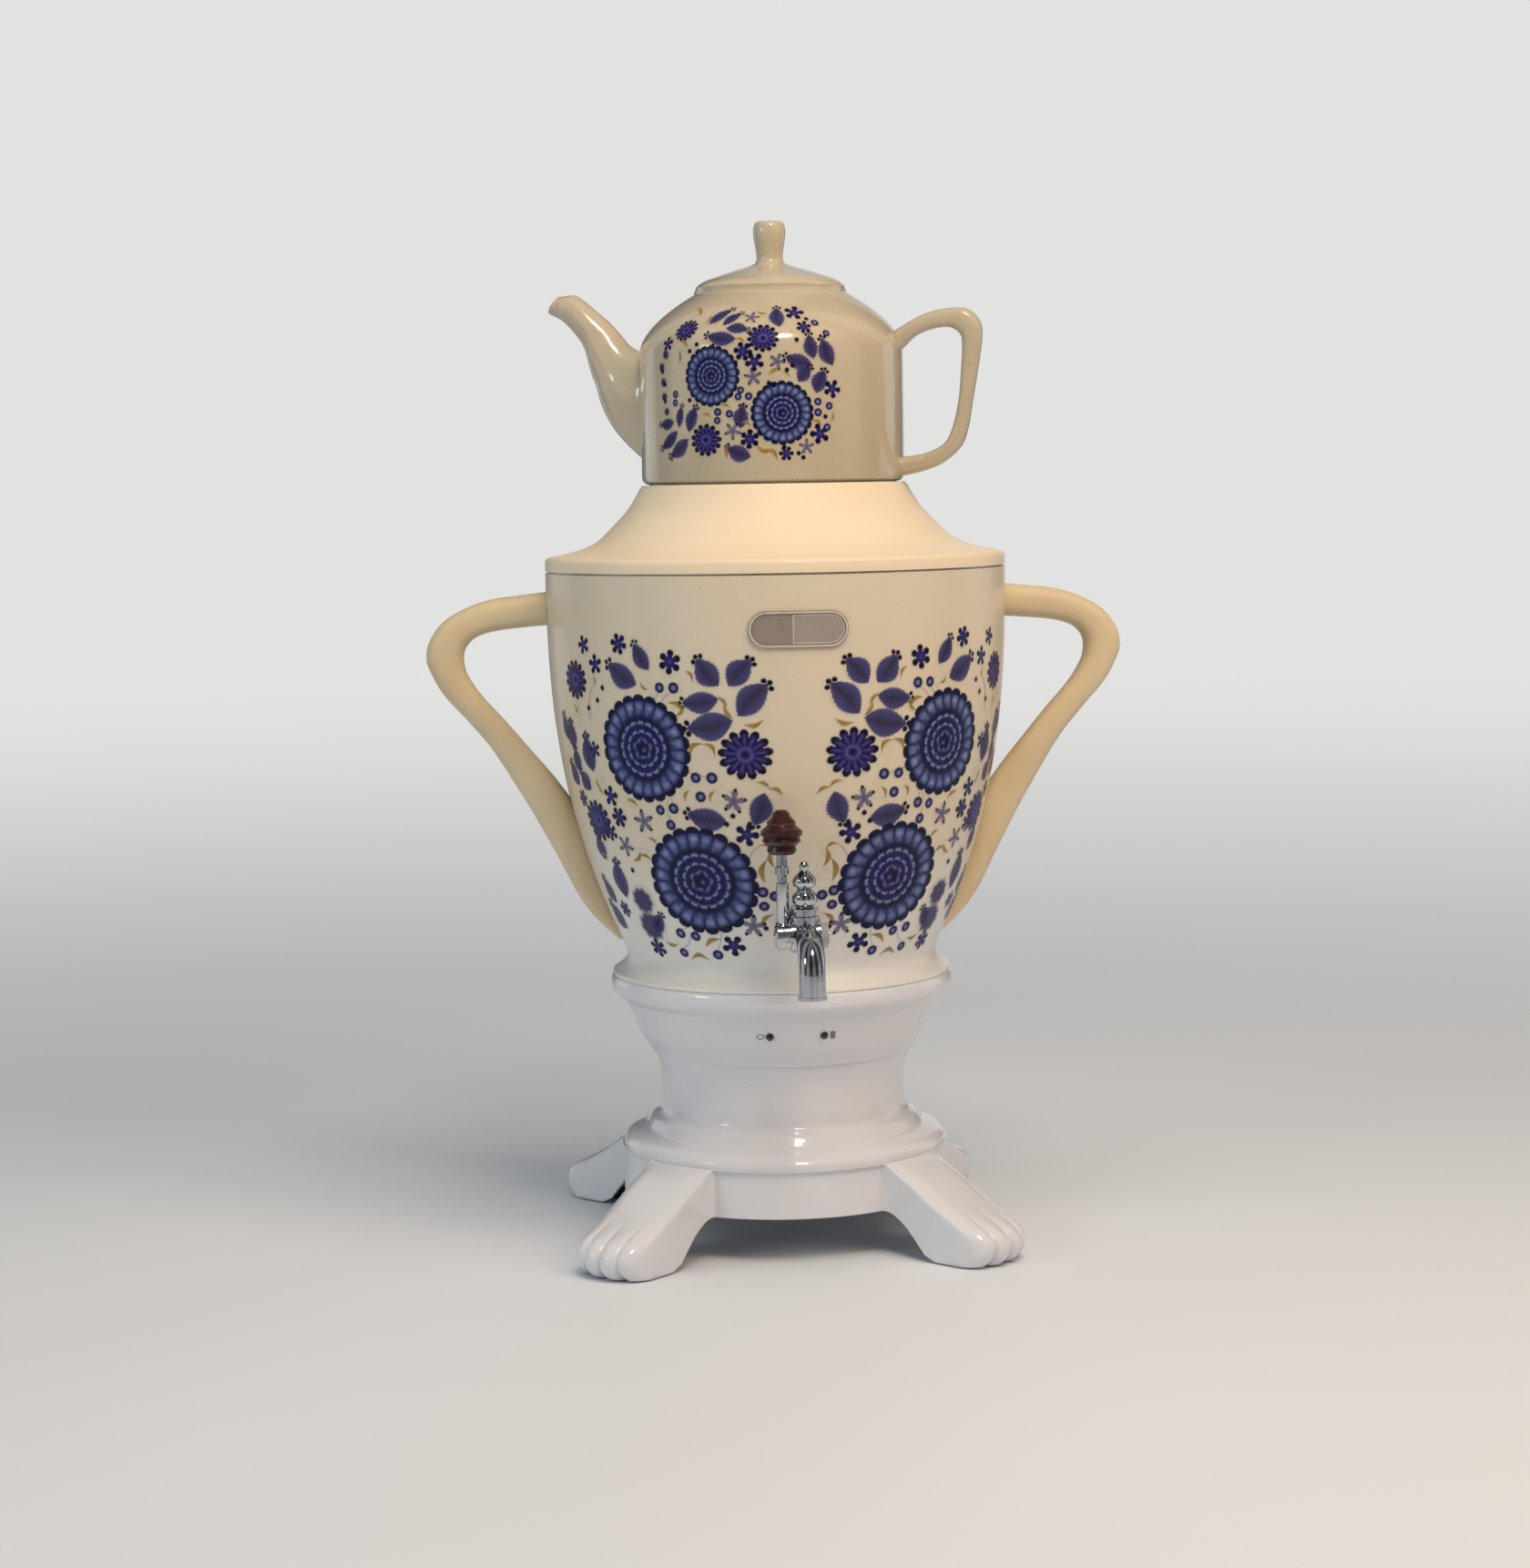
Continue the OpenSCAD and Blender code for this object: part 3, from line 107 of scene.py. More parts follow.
def new_mesh(name, points, faces):
    """A smooth-shaded object from points in millimetres."""
    mesh = bpy.data.meshes.new(name)
    mesh.from_pydata([tuple(p) for p in np.asarray(points, float) * MM], [], faces)
    mesh.update()
    mesh.shade_smooth()
    obj = bpy.data.objects.new(name, mesh)
    bpy.context.scene.collection.objects.link(obj)
    return obj


def ring_faces(rows, count, loop=False):
    """Quads between rings of points; loop joins the last ring to the first."""
    faces = []
    for i in range(rows if loop else rows - 1):
        a, b = i * count, (i + 1) % rows * count
        faces += [(a + k, a + (k + 1) % count, b + (k + 1) % count, b + k) for k in range(count)]
    return faces


def tube(name, rings, loop=False):
    """A closed skin through rings of points."""
    rings = np.asarray(rings, float)
    rows, count = rings.shape[:2]
    faces = ring_faces(rows, count, loop)
    if not loop:
        faces += [tuple(range(count))[::-1], tuple((rows - 1) * count + k for k in range(count))]
    obj = new_mesh(name, rings.reshape(-1, 3), faces)
    work = bmesh.new()
    work.from_mesh(obj.data)
    bmesh.ops.recalc_face_normals(work, faces=work.faces)
    work.to_mesh(obj.data)
    work.free()
    return obj


class Nodes:
    """Short ways to add nodes to a tree."""

    def __init__(self, tree):
        self.tree = tree

    def node(self, kind, inputs=None, **settings):
        """A new node; each input is a plain value or the socket that feeds it."""
        node = self.tree.nodes.new(kind)
        for key, value in settings.items():
            setattr(node, key, value)
        for key, value in (inputs or {}).items():
            if isinstance(value, bpy.types.NodeSocket):
                self.tree.links.new(value, node.inputs[key])
            else:
                node.inputs[key].default_value = value
        return node

    def range(self, value, low, high, to_low=0.0, to_high=1.0, how="SMOOTHSTEP"):
        inputs = {"Value": value, "From Min": low, "From Max": high, "To Min": to_low, "To Max": to_high}
        return self.node("ShaderNodeMapRange", inputs, interpolation_type=how).outputs["Result"]

    def math(self, how, a, b=0.5):
        return self.node("ShaderNodeMath", {0: a, 1: b}, operation=how).outputs[0]


# ---- materials ----

# Depths of orange peel, brush marks, hairline scratches and a level plate's waves, in metres
PEEL, BRUSHING, SCRATCH, LEVEL = 0.00006, 0.00004, 0.00001, 0.000004


class Finish(Nodes):
    """A Principled material. Lengths are in metres of the part."""

    def __init__(self, name, **sockets):
        self.mat = bpy.data.materials.new(name)
        self.mat.use_nodes = True
        super().__init__(self.mat.node_tree)
        self.bsdf = self.tree.nodes["Principled BSDF"]
        for key, value in sockets.items():
            self.bsdf.inputs[key.replace("_", " ")].default_value = value
        self.place = self.node("ShaderNodeTexCoord").outputs["Object"]

    def noise(self, per_metre, detail, stretch=(1, 1, 1)):
        """0 to 1, with its largest waves per metre and its octaves of detail."""
        place = self.node("ShaderNodeMapping", {"Vector": self.place, "Scale": stretch}).outputs["Vector"]
        inputs = {"Vector": place, "Scale": per_metre, "Detail": detail, "Roughness": 0.5}
        return self.node("ShaderNodeTexNoise", inputs).outputs["Fac"]

    def mix(self, share, a, b):
        a, b = (v if isinstance(v, bpy.types.NodeSocket) else [*v[:3], 1] for v in (a, b))
        return self.node("ShaderNodeMix", {0: share, 6: a, 7: b}, data_type="RGBA").outputs[2]

    def tones(self, pale, deep, noise, low=0.3, high=0.7):
        """A mottle of two colours, parted where the noise is between low and high."""
        return self.mix(self.range(noise, low, high), linear(pale), linear(deep))

    def feed(self, socket, value):
        self.tree.links.new(value, self.bsdf.inputs[socket])

    def colour(self, value):
        self.feed("Base Color", value)

    def roughness(self, value):
        self.feed("Roughness", value)

    def bump(self, height, depth, coat=False):
        """Height 0 to 1 over a depth in metres, on top of the bumps before it."""
        node = self.node("ShaderNodeBump", {"Height": height, "Distance": depth, "Strength": 1.0})
        before = self.bsdf.inputs["Normal"].links
        if before:
            self.tree.links.new(before[0].from_socket, node.inputs["Normal"])
        for socket in ("Normal", "Coat Normal")[:1 + coat]:
            self.feed(socket, node.outputs["Normal"])


def enamel(name, pale, deep, gloss=0.22, coat=0.6, low=None, clear=0.1):
    """Baked enamel or paint: a faint drift of tone, orange peel and dust specks. low is a colour that the
    tone fades to at the foot of a range of heights, a painted cooler light on the lower part; clear is the
    roughness of the top coat."""
    f = Finish(name, Coat_Weight=coat, Coat_Roughness=clear, Coat_IOR=1.5, Specular_IOR_Level=0.35)
    tone = f.mix(f.noise(9, 1), linear(pale), linear(deep))
    # Painted cool light: below a range of heights the tone fades to a cooler, whiter colour, standing in for
    # light on the lower part
    if low:
        painted_cool_light, bottom, top = low
        height = f.node("ShaderNodeSeparateXYZ", {"Vector": f.place}).outputs["Z"]
        tone = f.mix(f.range(height, bottom, top), linear(painted_cool_light), tone)
    specks = f.range(f.noise(900, 1), 0.74, 0.8)
    f.colour(f.mix(f.math("MULTIPLY", specks, 0.35), tone, linear("#8f8574")))
    f.roughness(f.range(f.noise(24, 2), 0.2, 0.8, gloss - 0.03, gloss + 0.05))
    f.bump(f.noise(260, 1), PEEL, coat=True)
    return f


def porcelain(name, pale, deep):
    """Glazed porcelain: a clear gloss over a slightly uneven body."""
    f = Finish(name, Coat_Weight=1.0, Coat_Roughness=0.04)
    tone = f.tones(pale, deep, f.noise(14, 3))
    pores = f.range(f.noise(700, 0), 0.77, 0.82)
    f.colour(f.mix(f.math("MULTIPLY", pores, 0.4), tone, linear("#7d6f5a")))
    f.roughness(f.range(f.noise(80, 3), 0.3, 0.7, 0.16, 0.26))
    f.bump(f.noise(55, 2), 0.00025, coat=True)
    f.bump(f.noise(320, 1), 0.00003, coat=True)
    return f


def plastic(name, pale, deep, gloss=0.35, grain=BRUSHING, coat=0.15):
    """Moulded plastic with a soft mottle, fine grain and handling marks."""
    f = Finish(name, Coat_Weight=coat, Coat_Roughness=0.18)
    tone = f.tones(pale, deep, f.noise(22, 4))
    streaks = f.range(f.noise(120, 3, stretch=(1, 1, 0.15)), 0.55, 0.8)
    f.colour(f.mix(f.math("MULTIPLY", streaks, 0.22), tone, [c * 0.72 for c in linear(deep)]))
    f.roughness(f.range(f.noise(150, 4), 0.25, 0.75, gloss - 0.08, gloss + 0.12))
    f.bump(f.noise(900, 2), grain)
    f.bump(f.noise(45, 2), 0.0002)
    return f


def metal(name, pale, deep, gloss=0.1, brushed=None, shine=1.0, waves=PEEL):
    """Plated or brushed metal: water spots, a slight waviness, and hairlines that brushed stretches."""
    f = Finish(name, Metallic=shine, IOR=2.4 if shine == 1 else 1.5)
    f.colour(f.tones(pale, deep, f.noise(180, 3), 0.45, 0.75))
    f.roughness(f.range(f.noise(300, 3), 0.35, 0.75, gloss, gloss + 0.1))
    f.bump(f.noise(1400, 2, stretch=brushed or (1, 1, 1)), BRUSHING if brushed else SCRATCH)
    f.bump(f.noise(90, 2), waves)
    return f


WHITE = enamel("white_enamel", "#dadce2", "#d3d5db", coat=1.0, clear=0.04)
CREAM_TONES, PORCELAIN_TONES = ("#d6ccb8", "#d0c4ae"), ("#c1b69f", "#b9ad95")
# low paints a cooler, whiter light on the lower body and on its print, fading in below 0.22 m
CREAM_KIND = {"gloss": 0.3, "coat": 0.25, "low": ("#dadad7", 0.145, 0.22)}
CREAM = enamel("cream_enamel", *CREAM_TONES, **CREAM_KIND)
COVER = enamel("cover_enamel", "#e6d8c0", "#e0d0b4", gloss=0.44, coat=0.2)
PORCELAIN = porcelain("porcelain", *PORCELAIN_TONES)
IVORY = plastic("ivory_plastic", "#d6c5a4", "#ccb995", gloss=0.38)
RED = plastic("red_plastic", "#3c100d", "#2e0a08", gloss=0.3, coat=0.4)
BLACK = plastic("black_plastic", "#1d1d1f", "#151516", gloss=0.5, coat=0.0)
LAMP_LENS = plastic("lamp_lens", "#1b0d0c", "#120808", gloss=0.12, grain=SCRATCH, coat=1.0)
CHROME = metal("chrome", "#c9ccd1", "#b4b8bf", gloss=0.05)
STEEL = metal("steel", "#bcbec1", "#a8aaae", gloss=0.34, brushed=(1, 1, 0.05), shine=0.55)
BADGE = metal("badge_metal", "#a99c94", "#a0938b", gloss=0.45, brushed=(0.05, 1, 1), shine=0.5, waves=LEVEL)
BRASS = metal("brass", "#b8944e", "#a07d3c", gloss=0.22)
RUBBER = plastic("rubber", "#232325", "#191919", gloss=0.7, grain=0.0001, coat=0.0)
WIRE = plastic("red_wire", "#6d1712", "#57110d", gloss=0.5)

USES = {
    WHITE: "foot column", CREAM: "body_shell", COVER: "cover",
    PORCELAIN: "teapot_body teapot_spout teapot_handle teapot_lid",
    IVORY: "handle_left handle_right", RED: "tap_knob", LAMP_LENS: "lamp_left lamp_right",
    BLACK: "rear_panel power_inlet switch_frame switch_rocker thermostat", BADGE: "badge",
    CHROME: "tap_body tap_flange tap_finial tap_plug tap_key",
    STEEL: "bottom_plate bottom_screws foot_screws deck_screws handle_screws tank heater_plate"
           " heating_element thermal_cutout tap_nut plug_nut cover_skirt",
    BRASS: "inlet_pins", RUBBER: "foot_pads tap_gasket tap_inner_gasket", WIRE: "heater_leads",
}
# Split corners closer than this many millimetres are one; edges that turn by more degrees stay sharp
JOIN_WITHIN, SHARP_OVER = 0.004, 32


def smoothing_group():
    """A modifier's node group: joins a mesh's split corners and keeps only sharp edges sharp."""
    group = bpy.data.node_groups.new("smooth_skin", "GeometryNodeTree")
    for way in ("INPUT", "OUTPUT"):
        group.interface.new_socket("Geometry", in_out=way, socket_type="NodeSocketGeometry")
    node = Nodes(group).node
    angle = node("GeometryNodeInputMeshEdgeAngle").outputs["Unsigned Angle"]
    limit = {0: angle, 1: math.radians(SHARP_OVER)}
    sharp = node("FunctionNodeCompare", limit, operation="GREATER_THAN").outputs["Result"]
    skin = node("NodeGroupInput").outputs[0]
    for kind, inputs, domain in (
            ("RemoveAttribute", {"Name": "custom_normal"}, {}),
            ("MergeByDistance", {"Distance": JOIN_WITHIN * MM}, {}),
            ("SetShadeSmooth", {"Shade Smooth": True}, {}),
            ("SetShadeSmooth", {"Shade Smooth": False, "Selection": sharp}, {"domain": "EDGE"})):
        skin = node("GeometryNode" + kind, {"Geometry": skin, **inputs}, **domain).outputs["Geometry"]
    node("NodeGroupOutput", {0: skin})
    return group


SMOOTH = smoothing_group()
for finish, names in USES.items():
    for name in names.split():
        node = NODES[name]
        node.data.materials.clear()
        node.data.materials.append(finish.mat)
        node.modifiers.new("smooth_skin", "NODES").node_group = SMOOTH


# ---- foot ----

RING_R, PAW_REACH, PAW_HALF_W, FOOT_WALL, EDGE = 81, 138, 19.5, 3, 0.8
RECESS, APRON_LEAN, ARCH_H, ARCH_OUT = 2, 1.5, 22, 106
TIP_ROUND, LEG_ROUND, LEG_FILLET, TOES, TOE_H, WALL_END = 9, 2.4, 5, 4, 2.6, 18.5
# Shares of a leg's line over which its tip rounds, its toes rise, its upper edge rounds and its fillet grows,
# and the share up to which it only leads outwards
TIP_PART, TOE_PART, EDGE_PART, FILL_PART, OUTWARD_PART = (0.35, 0.95), (0.42, 0.8), (0, 0.12), (0, 0.1), 0.7
# Across a leg: the powers of its tip, toes and crown, the toes' mean, where the crown starts, and how far out
# from the ring the edge's rounding sets in
TIP_POWER, TOE_POWER, CROWN_POWER, TOE_MEAN, CROWN_FROM, EDGE_BLEND = 3, 0.55, 2.2, 0.35, 0.5, 8
# Points across a leg's top, down its flank and round to the middle between two legs, and along a line
TOP_POINTS, FLANK_POINTS, REST_POINTS, LINE_POINTS = 73, 17, 15, 60
LEG_LINE = [(RING_R + (PAW_REACH - RING_R) * out, EDGE + (FOOT_H - EDGE) * up) for out, up in (
    (0, 1), (0.14, 0.93), (0.29, 0.82), (0.47, 0.67), (0.72, 0.5), (0.91, 0.37), (1, 0.24), (0.985, 0.1),
    (0.9, 0))]
ARCH_LINE = [(RING_R - 1 + (ARCH_OUT - RING_R + 1) * out, EDGE + (ARCH_H - EDGE) * up) for out, up in (
    (0, 1), (0.23, 0.92), (0.54, 0.64), (0.85, 0.2), (1, 0))]


def leg_profile(t, wall):
    """Radii, heights and directions along the legs' upper line, moved in by the wall."""
    line = spline(LEG_LINE, t)
    way = spline(LEG_LINE, np.minimum(t + 0.01, 1)) - spline(LEG_LINE, np.maximum(t - 0.01, 0))
    way /= np.hypot(*way.T)[:, None]
    return line[:, 0] + wall * way[:, 1], line[:, 1] - wall * way[:, 0], way


def foot_rows(shares, wall):
    """Rings of the foot's skin at the shares down a leg, moved in by the wall."""
    t = np.asarray(shares, float)
    leg_r, leg_z, way = leg_profile(t, wall)
    rounding = TIP_ROUND * step(*TIP_PART, t)
    half_w = PAW_HALF_W - wall
    edge = np.degrees(np.arcsin(half_w / (leg_r - rounding)))
    apron = RING_R - wall - RECESS * step(*FILL_PART, t) + APRON_LEAN * t
    climb = np.linspace(0, OUTWARD_PART, LINE_POINTS)
    climb_r, climb_z = spline(LEG_LINE, climb).T
    arch_r, arch_z = spline(ARCH_LINE, np.linspace(0, 1, LINE_POINTS)).T
    top = np.linspace(-1, 1, TOP_POINTS)
    side = np.linspace(0, 1, FLANK_POINTS)[1:]
    rest = np.linspace(0, 1, REST_POINTS)[1:]
    lobe = np.abs(np.sin(np.pi / 2 * TOES * top)) ** TOE_POWER
    rings = []
    for i, share in enumerate(t):
        toe = (0 if wall else TOE_H) * step(*TOE_PART, share) * (lobe - TOE_MEAN)
        drop = (0 if wall else LEG_ROUND) * step(*EDGE_PART, share)
        crown = drop * (np.maximum(np.abs(top) - CROWN_FROM, 0) / (1 - CROWN_FROM)) ** CROWN_POWER
        top_r = leg_r[i] - rounding[i] * np.abs(top) ** TIP_POWER + toe * abs(way[i, 1])
        top_z = leg_z[i] - crown + toe * way[i, 0]
        turn = np.append(edge[i] + (WALL_END - edge[i]) * side, WALL_END + (45 - WALL_END) * rest)
        out = half_w / np.sin(np.radians(turn))
        fillet = LEG_FILLET * step(*FILL_PART, share)
        near = np.maximum(fillet - np.abs(out - apron[i]), 0)
        r = np.maximum(out, apron[i]) + near**2 / (4 * fillet + 1e-9)
        at = np.interp(r, climb_r + wall, climb)
        u = np.clip((share - at) / (1 - at), 0, 1)
        high = np.where(r <= RING_R - wall + 0.01, FOOT_H, np.interp(r, climb_r + wall, climb_z) - wall)
        low = np.interp(r, arch_r, arch_z)
        z = high * (1 - u) + low * u - drop * (1 - u) * step(RING_R, RING_R + EDGE_BLEND, r)
        if share == 0:
            top_z, z = np.full_like(top_z, FOOT_H), np.full_like(z, FOOT_H)
        turns = np.concatenate([-turn[-2::-1], top * edge[i], turn])
        radii = np.concatenate([r[-2::-1], top_r, r])
        heights = np.maximum(np.concatenate([z[-2::-1], top_z, z]), EDGE)
        legs = np.radians(turns[None] + 45 + 90 * np.arange(4)[:, None]).ravel()
        radii, heights = np.tile(radii, 4), np.tile(heights, 4)
        rings.append(np.c_[radii * np.cos(legs), radii * np.sin(legs), heights])
    return rings


outer_shares = np.concatenate([[0, 0.01, 0.025, 0.04, 0.06, 0.08], np.linspace(0.1, 1, 46)])
foot = tube("lion_foot", foot_rows(outer_shares, 0) + foot_rows(np.linspace(1, 0, 16), FOOT_WALL), loop=True)
foot.data.materials.append(WHITE.mat)
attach(foot, "samovar")
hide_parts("foot")


def turned(name, profile, places, count):
    """Rings of a closed profile of radii and heights, turned about each of the places."""
    points, faces = [], []
    a = np.arange(count) * 2 * np.pi / count
    for x, y in places:
        start = len(points) * count
        faces += [tuple(i + start for i in face) for face in ring_faces(len(profile), count, True)]
        points += [np.c_[x + r * np.cos(a), y + r * np.sin(a), np.full(count, z)] for r, z in profile]
    return new_mesh(name, np.concatenate(points), faces)


def about(out, first):
    """Four places at the distance out, the first at an angle."""
    return [(out * math.cos(a), out * math.sin(a)) for a in np.radians(first + 90 * np.arange(4))]


PLATE_TOP, LEDGE_LOW, LEDGE_IN, LEDGE_OUT, POST_TOP = 27.5, 41, 64, 77.5, 24.8
BOSS_OUT, POST_OUT = RING_R - 11, 112
ledge = [(LEDGE_IN, LEDGE_LOW + 0.6), (LEDGE_IN + 0.6, LEDGE_LOW), (LEDGE_OUT - 3, LEDGE_LOW),
         (LEDGE_OUT - 1, LEDGE_LOW - 0.6), (LEDGE_OUT, LEDGE_LOW - 2.4), (LEDGE_OUT, FOOT_H - 0.2),
         (LEDGE_IN + 0.6, FOOT_H - 0.2), (LEDGE_IN, FOOT_H - 0.8)]
boss = [(0, PLATE_TOP), (4, PLATE_TOP), (4.5, PLATE_TOP + 0.5), (4.6, LEDGE_LOW - 2.5),
        (5.2, LEDGE_LOW - 0.8), (6.5, LEDGE_LOW + 0.5), (0, LEDGE_LOW + 0.5)]
post = [(0, 1.5), (4, 1.5), (4.5, 2), (4.7, POST_TOP - 4), (5.6, POST_TOP - 1.6), (7, POST_TOP),
        (0, POST_TOP)]
foot_inside = [turned("foot_ledge", ledge, [(0, 0)], 180),
               turned("foot_bosses", boss, about(BOSS_OUT, 0), 40),
               turned("foot_posts", post, about(POST_OUT, 45), 40)]
for piece in foot_inside:
    piece.data.materials.append(WHITE.mat)
    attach(piece, "samovar")


# ---- body handles ----

# How deep a root reaches into the wall, and the distance over which it widens
SINK, FLARE_OVER = 0.4, 5
# Points round a section, how square it is (1 is round) and the width of its moulding seam
SECTION_POINTS, SECTION_POWER, SEAM_W = 48, 0.8, 0.004

# Stations down a handle, first of its outer and then of its inner edge, as shares of the reach beyond the
# wall and of the height. A spout's are its lower and upper edge, with half its width.
HANDLE_STATIONS = [(-0.08, 0.956, -0.08, 0.874), (0.2, 0.947, 0.2, 0.868), (0.46, 0.937, 0.42, 0.861),
    (0.68, 0.915, 0.57, 0.849), (0.86, 0.883, 0.65, 0.832), (0.975, 0.838, 0.697, 0.808),
    (1.01, 0.797, 0.702, 0.781), (0.99, 0.765, 0.68, 0.753), (0.895, 0.705, 0.59, 0.705),
    (0.715, 0.636, 0.41, 0.636), (0.56, 0.568, 0.25, 0.568), (0.425, 0.478, 0.08, 0.49),
    (0.325, 0.395, -0.04, 0.407), (0.243, 0.296, -0.05, 0.307), (0.19, 0.193, -0.05, 0.2),
    (0.125, 0.133, -0.05, 0.137), (0.03, 0.086, -0.05, 0.09)]
EAR_STATIONS = [(-0.12, 0.76, -0.09, 0.64), (0.04, 0.803, 0.05, 0.692), (0.285, 0.856, 0.2, 0.748),
    (0.57, 0.884, 0.41, 0.78), (0.825, 0.878, 0.603, 0.785), (0.978, 0.813, 0.728, 0.752),
    (1, 0.726, 0.757, 0.694), (0.937, 0.548, 0.737, 0.548), (0.88, 0.413, 0.707, 0.413),
    (0.822, 0.273, 0.632, 0.277), (0.73, 0.173, 0.525, 0.192), (0.5, 0.09, 0.312, 0.147),
    (0.212, 0.045, 0.112, 0.132), (-0.07, 0.025, -0.07, 0.124)]


def loop_handle(name, stations, where, radius, half_t, steps, seam, flare):
    """A handle of rounded sections between an outer and an inner edge. where turns a station's shares
    into x and z, and radius(z) is the wall that the handle grows out of."""
    u = np.linspace(0, 1, steps)
    outer = spline([where(*s[:2]) for s in stations], u)
    inner = spline([where(*s[2:]) for s in stations], u)
    turn = np.linspace(0, 2 * np.pi, SECTION_POINTS, endpoint=False)
    c, s = np.cos(turn), np.sin(turn)
    across, deep = (np.sign(v) * np.abs(v) ** SECTION_POWER for v in (c, s))
    ridge = seam * (bump_at(c, 1, SEAM_W) + bump_at(c, -1, SEAM_W))
    rings = []
    for i in range(steps):
        middle, half = (outer[i] + inner[i]) / 2, (outer[i] - inner[i]) / 2
        length = np.hypot(*half)
        out = half / length
        off = middle[0] - radius(middle[1])
        grow = 1 + flare * np.exp(-max(off, 0) / FLARE_OVER)
        along = across * (length + ridge)
        x = middle[0] + along * out[0]
        z = middle[1] + along * out[1]
        y = deep * half_t(u[i]) * grow
        skin = np.sqrt(np.maximum(0, (radius(z) - SINK) ** 2 - y**2))
        rings.append(np.c_[np.maximum(x, skin), y, z])
    return tube(name, rings)


def handle_place(share_out, share_up):
    z = BODY_Z + BODY_H * share_up
    return (wall_r(z) + HANDLE_REACH * share_out, z)


def handle_thickness(u):
    return HANDLE_HALF_T * (1 - THINNER * max(0.0, u - THINNER_FROM) / (1 - THINNER_FROM))


for side, name in ((-1, "left"), (1, "right")):
    handle = loop_handle("grip_" + name, HANDLE_STATIONS, handle_place, wall_r, handle_thickness,
                         steps=170, seam=0.12, flare=0.12)
    handle.data.transform(Matrix.Diagonal((side, 1, 1, 1)))
    if side < 0:
        handle.data.flip_normals()
    handle.data.materials.append(IVORY.mat)
    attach(handle, "samovar")
    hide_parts("handle_" + name)


# ---- teapot spout and handle ----


def to_pot(obj):
    """Turns and lifts a mesh that was built beside the teapot's own axis to its place."""
    obj.data.transform(Matrix.Translation((0, 0, POT_Z * MM)) @ Matrix.Rotation(POT_TURN, 4, "Z"))


ear = loop_handle("pot_ear", EAR_STATIONS, lambda out, up: (POT_R + EAR_REACH * out, POT_H * up), pot_r,
                  lambda u: EAR_HALF_T, steps=130, seam=0, flare=0.35)
to_pot(ear)

SPOUT_STATIONS = [(-0.06, 0.12, -0.06, 0.69, 14), (0.1, 0.175, 0.04, 0.705, 13.5),
    (0.31, 0.29, 0.15, 0.74, 12.5), (0.44, 0.415, 0.21, 0.777, 11), (0.5, 0.522, 0.29, 0.826, 10),
    (0.555, 0.6, 0.375, 0.873, 9), (0.615, 0.722, 0.505, 0.93, 8.2), (0.7, 0.795, 0.61, 0.978, 7.5),
    (0.84, 0.873, 0.72, 1.011, 6.8), (0.985, 0.916, 0.858, 1.004, 6.3)]

LIP_BULGE, ROOT_FLARE, ROOT_SHARE = 0.55, 2.2, 0.05
SPOUT_STEPS, SPOUT_POINTS = 90, 56


def spout_rings():
    """Rings along the outside, over the rounded lip, and back down the inside."""
    low, high = ([(POT_R + SPOUT_REACH * s[k], POT_H * s[k + 1]) for s in SPOUT_STATIONS] for k in (0, 2))
    wide = [(s[4], 0) for s in SPOUT_STATIONS]
    u = np.linspace(0, 1, SPOUT_STEPS)
    a = np.linspace(0, 2 * np.pi, SPOUT_POINTS, endpoint=False)
    steps = [(x, 0.0) for x in u] + [(1.0, 0.25), (1.0, 0.5), (1.0, 0.75)] + [(x, 1.0) for x in u[::-1]]
    rings = []
    for share, turn in steps:
        lo, hi = spline(low, [share])[0], spline(high, [share])[0]
        middle, half = (lo + hi) / 2, (hi - lo) / 2
        length = np.hypot(*half)
        wall = SPOUT_WALL * (SPOUT_ROOT - SPOUT_TAPER * share)
        inward = wall * (1 - math.cos(math.pi * turn)) / 2
        lift = LIP_BULGE * wall * math.sin(math.pi * turn)
        forward = np.array([half[1], -half[0]]) / length
        flare = ROOT_FLARE * math.exp(-share / ROOT_SHARE) if turn == 0 else 0
        scale = 1 - (inward - flare) / length
        x = middle[0] + half[0] * scale * np.cos(a) + forward[0] * lift
        z = middle[1] + half[1] * scale * np.cos(a) + forward[1] * lift
        y = (spline(wide, [share])[0][0] - inward + flare) * np.sin(a)
        skin = np.sqrt(np.maximum(0, (pot_r(z) - SINK) ** 2 - y**2))
        rings.append(np.c_[-np.maximum(x, skin), y, z])
    return rings


spout = tube("pot_spout", spout_rings(), loop=True)
to_pot(spout)
for piece, node in ((ear, "teapot_handle"), (spout, "teapot_spout")):
    piece.data.materials.append(PORCELAIN.mat)
    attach(piece, "teapot")
    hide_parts(node)

# ---- printed flowers ----

CAP, DEEP, PETAL, SHELL = (np.array(linear(c)) for c in ("#0c1234", "#182048", "#2f3a6c", "#848dbc"))
VIOLET, NIGHT, DUSK, HAZE = (np.array(linear(c)) for c in ("#201a58", "#0b0824", "#222250", "#605f96"))
GOLD, OLIVE = (np.array(linear(c)) for c in ("#997829", "#706427"))
# The plain numbers in the motifs are shares of their size and of an ink
EDGE_BLUR, FILM_LIFT, LEAST_INK, MAP_ROOM, MAP_EDGE = 0.28, 0.08, 0.01, 1.01, 0.003
LEAF_WIDER, DARK_SQUEEZE = 1.15, 0.92
BLOSSOM_PETALS = 22
# Each ring of beads: its radius, number of beads and their width, as shares of the blossom's size
BEAD_RINGS = ((0.468, 17, 0.05), (0.31, 12, 0.042))


def soft(inside):
    """Cover of a printed edge, from the distance inside it in millimetres."""
    return step(-EDGE_BLUR, EDGE_BLUR, inside)


def over(below, ink, share):
    return below * (1 - share[..., None]) + ink * share[..., None]


def layers(colour, *washes):
    """Inks laid one over another, each with its share."""
    for ink, share in washes:
        colour = over(colour, ink, share)
    return colour


def petal_phase(angle, petals):
    """-1 to 1 across each petal."""
    return 2 * (angle * petals / (2 * np.pi) % 1) - 1


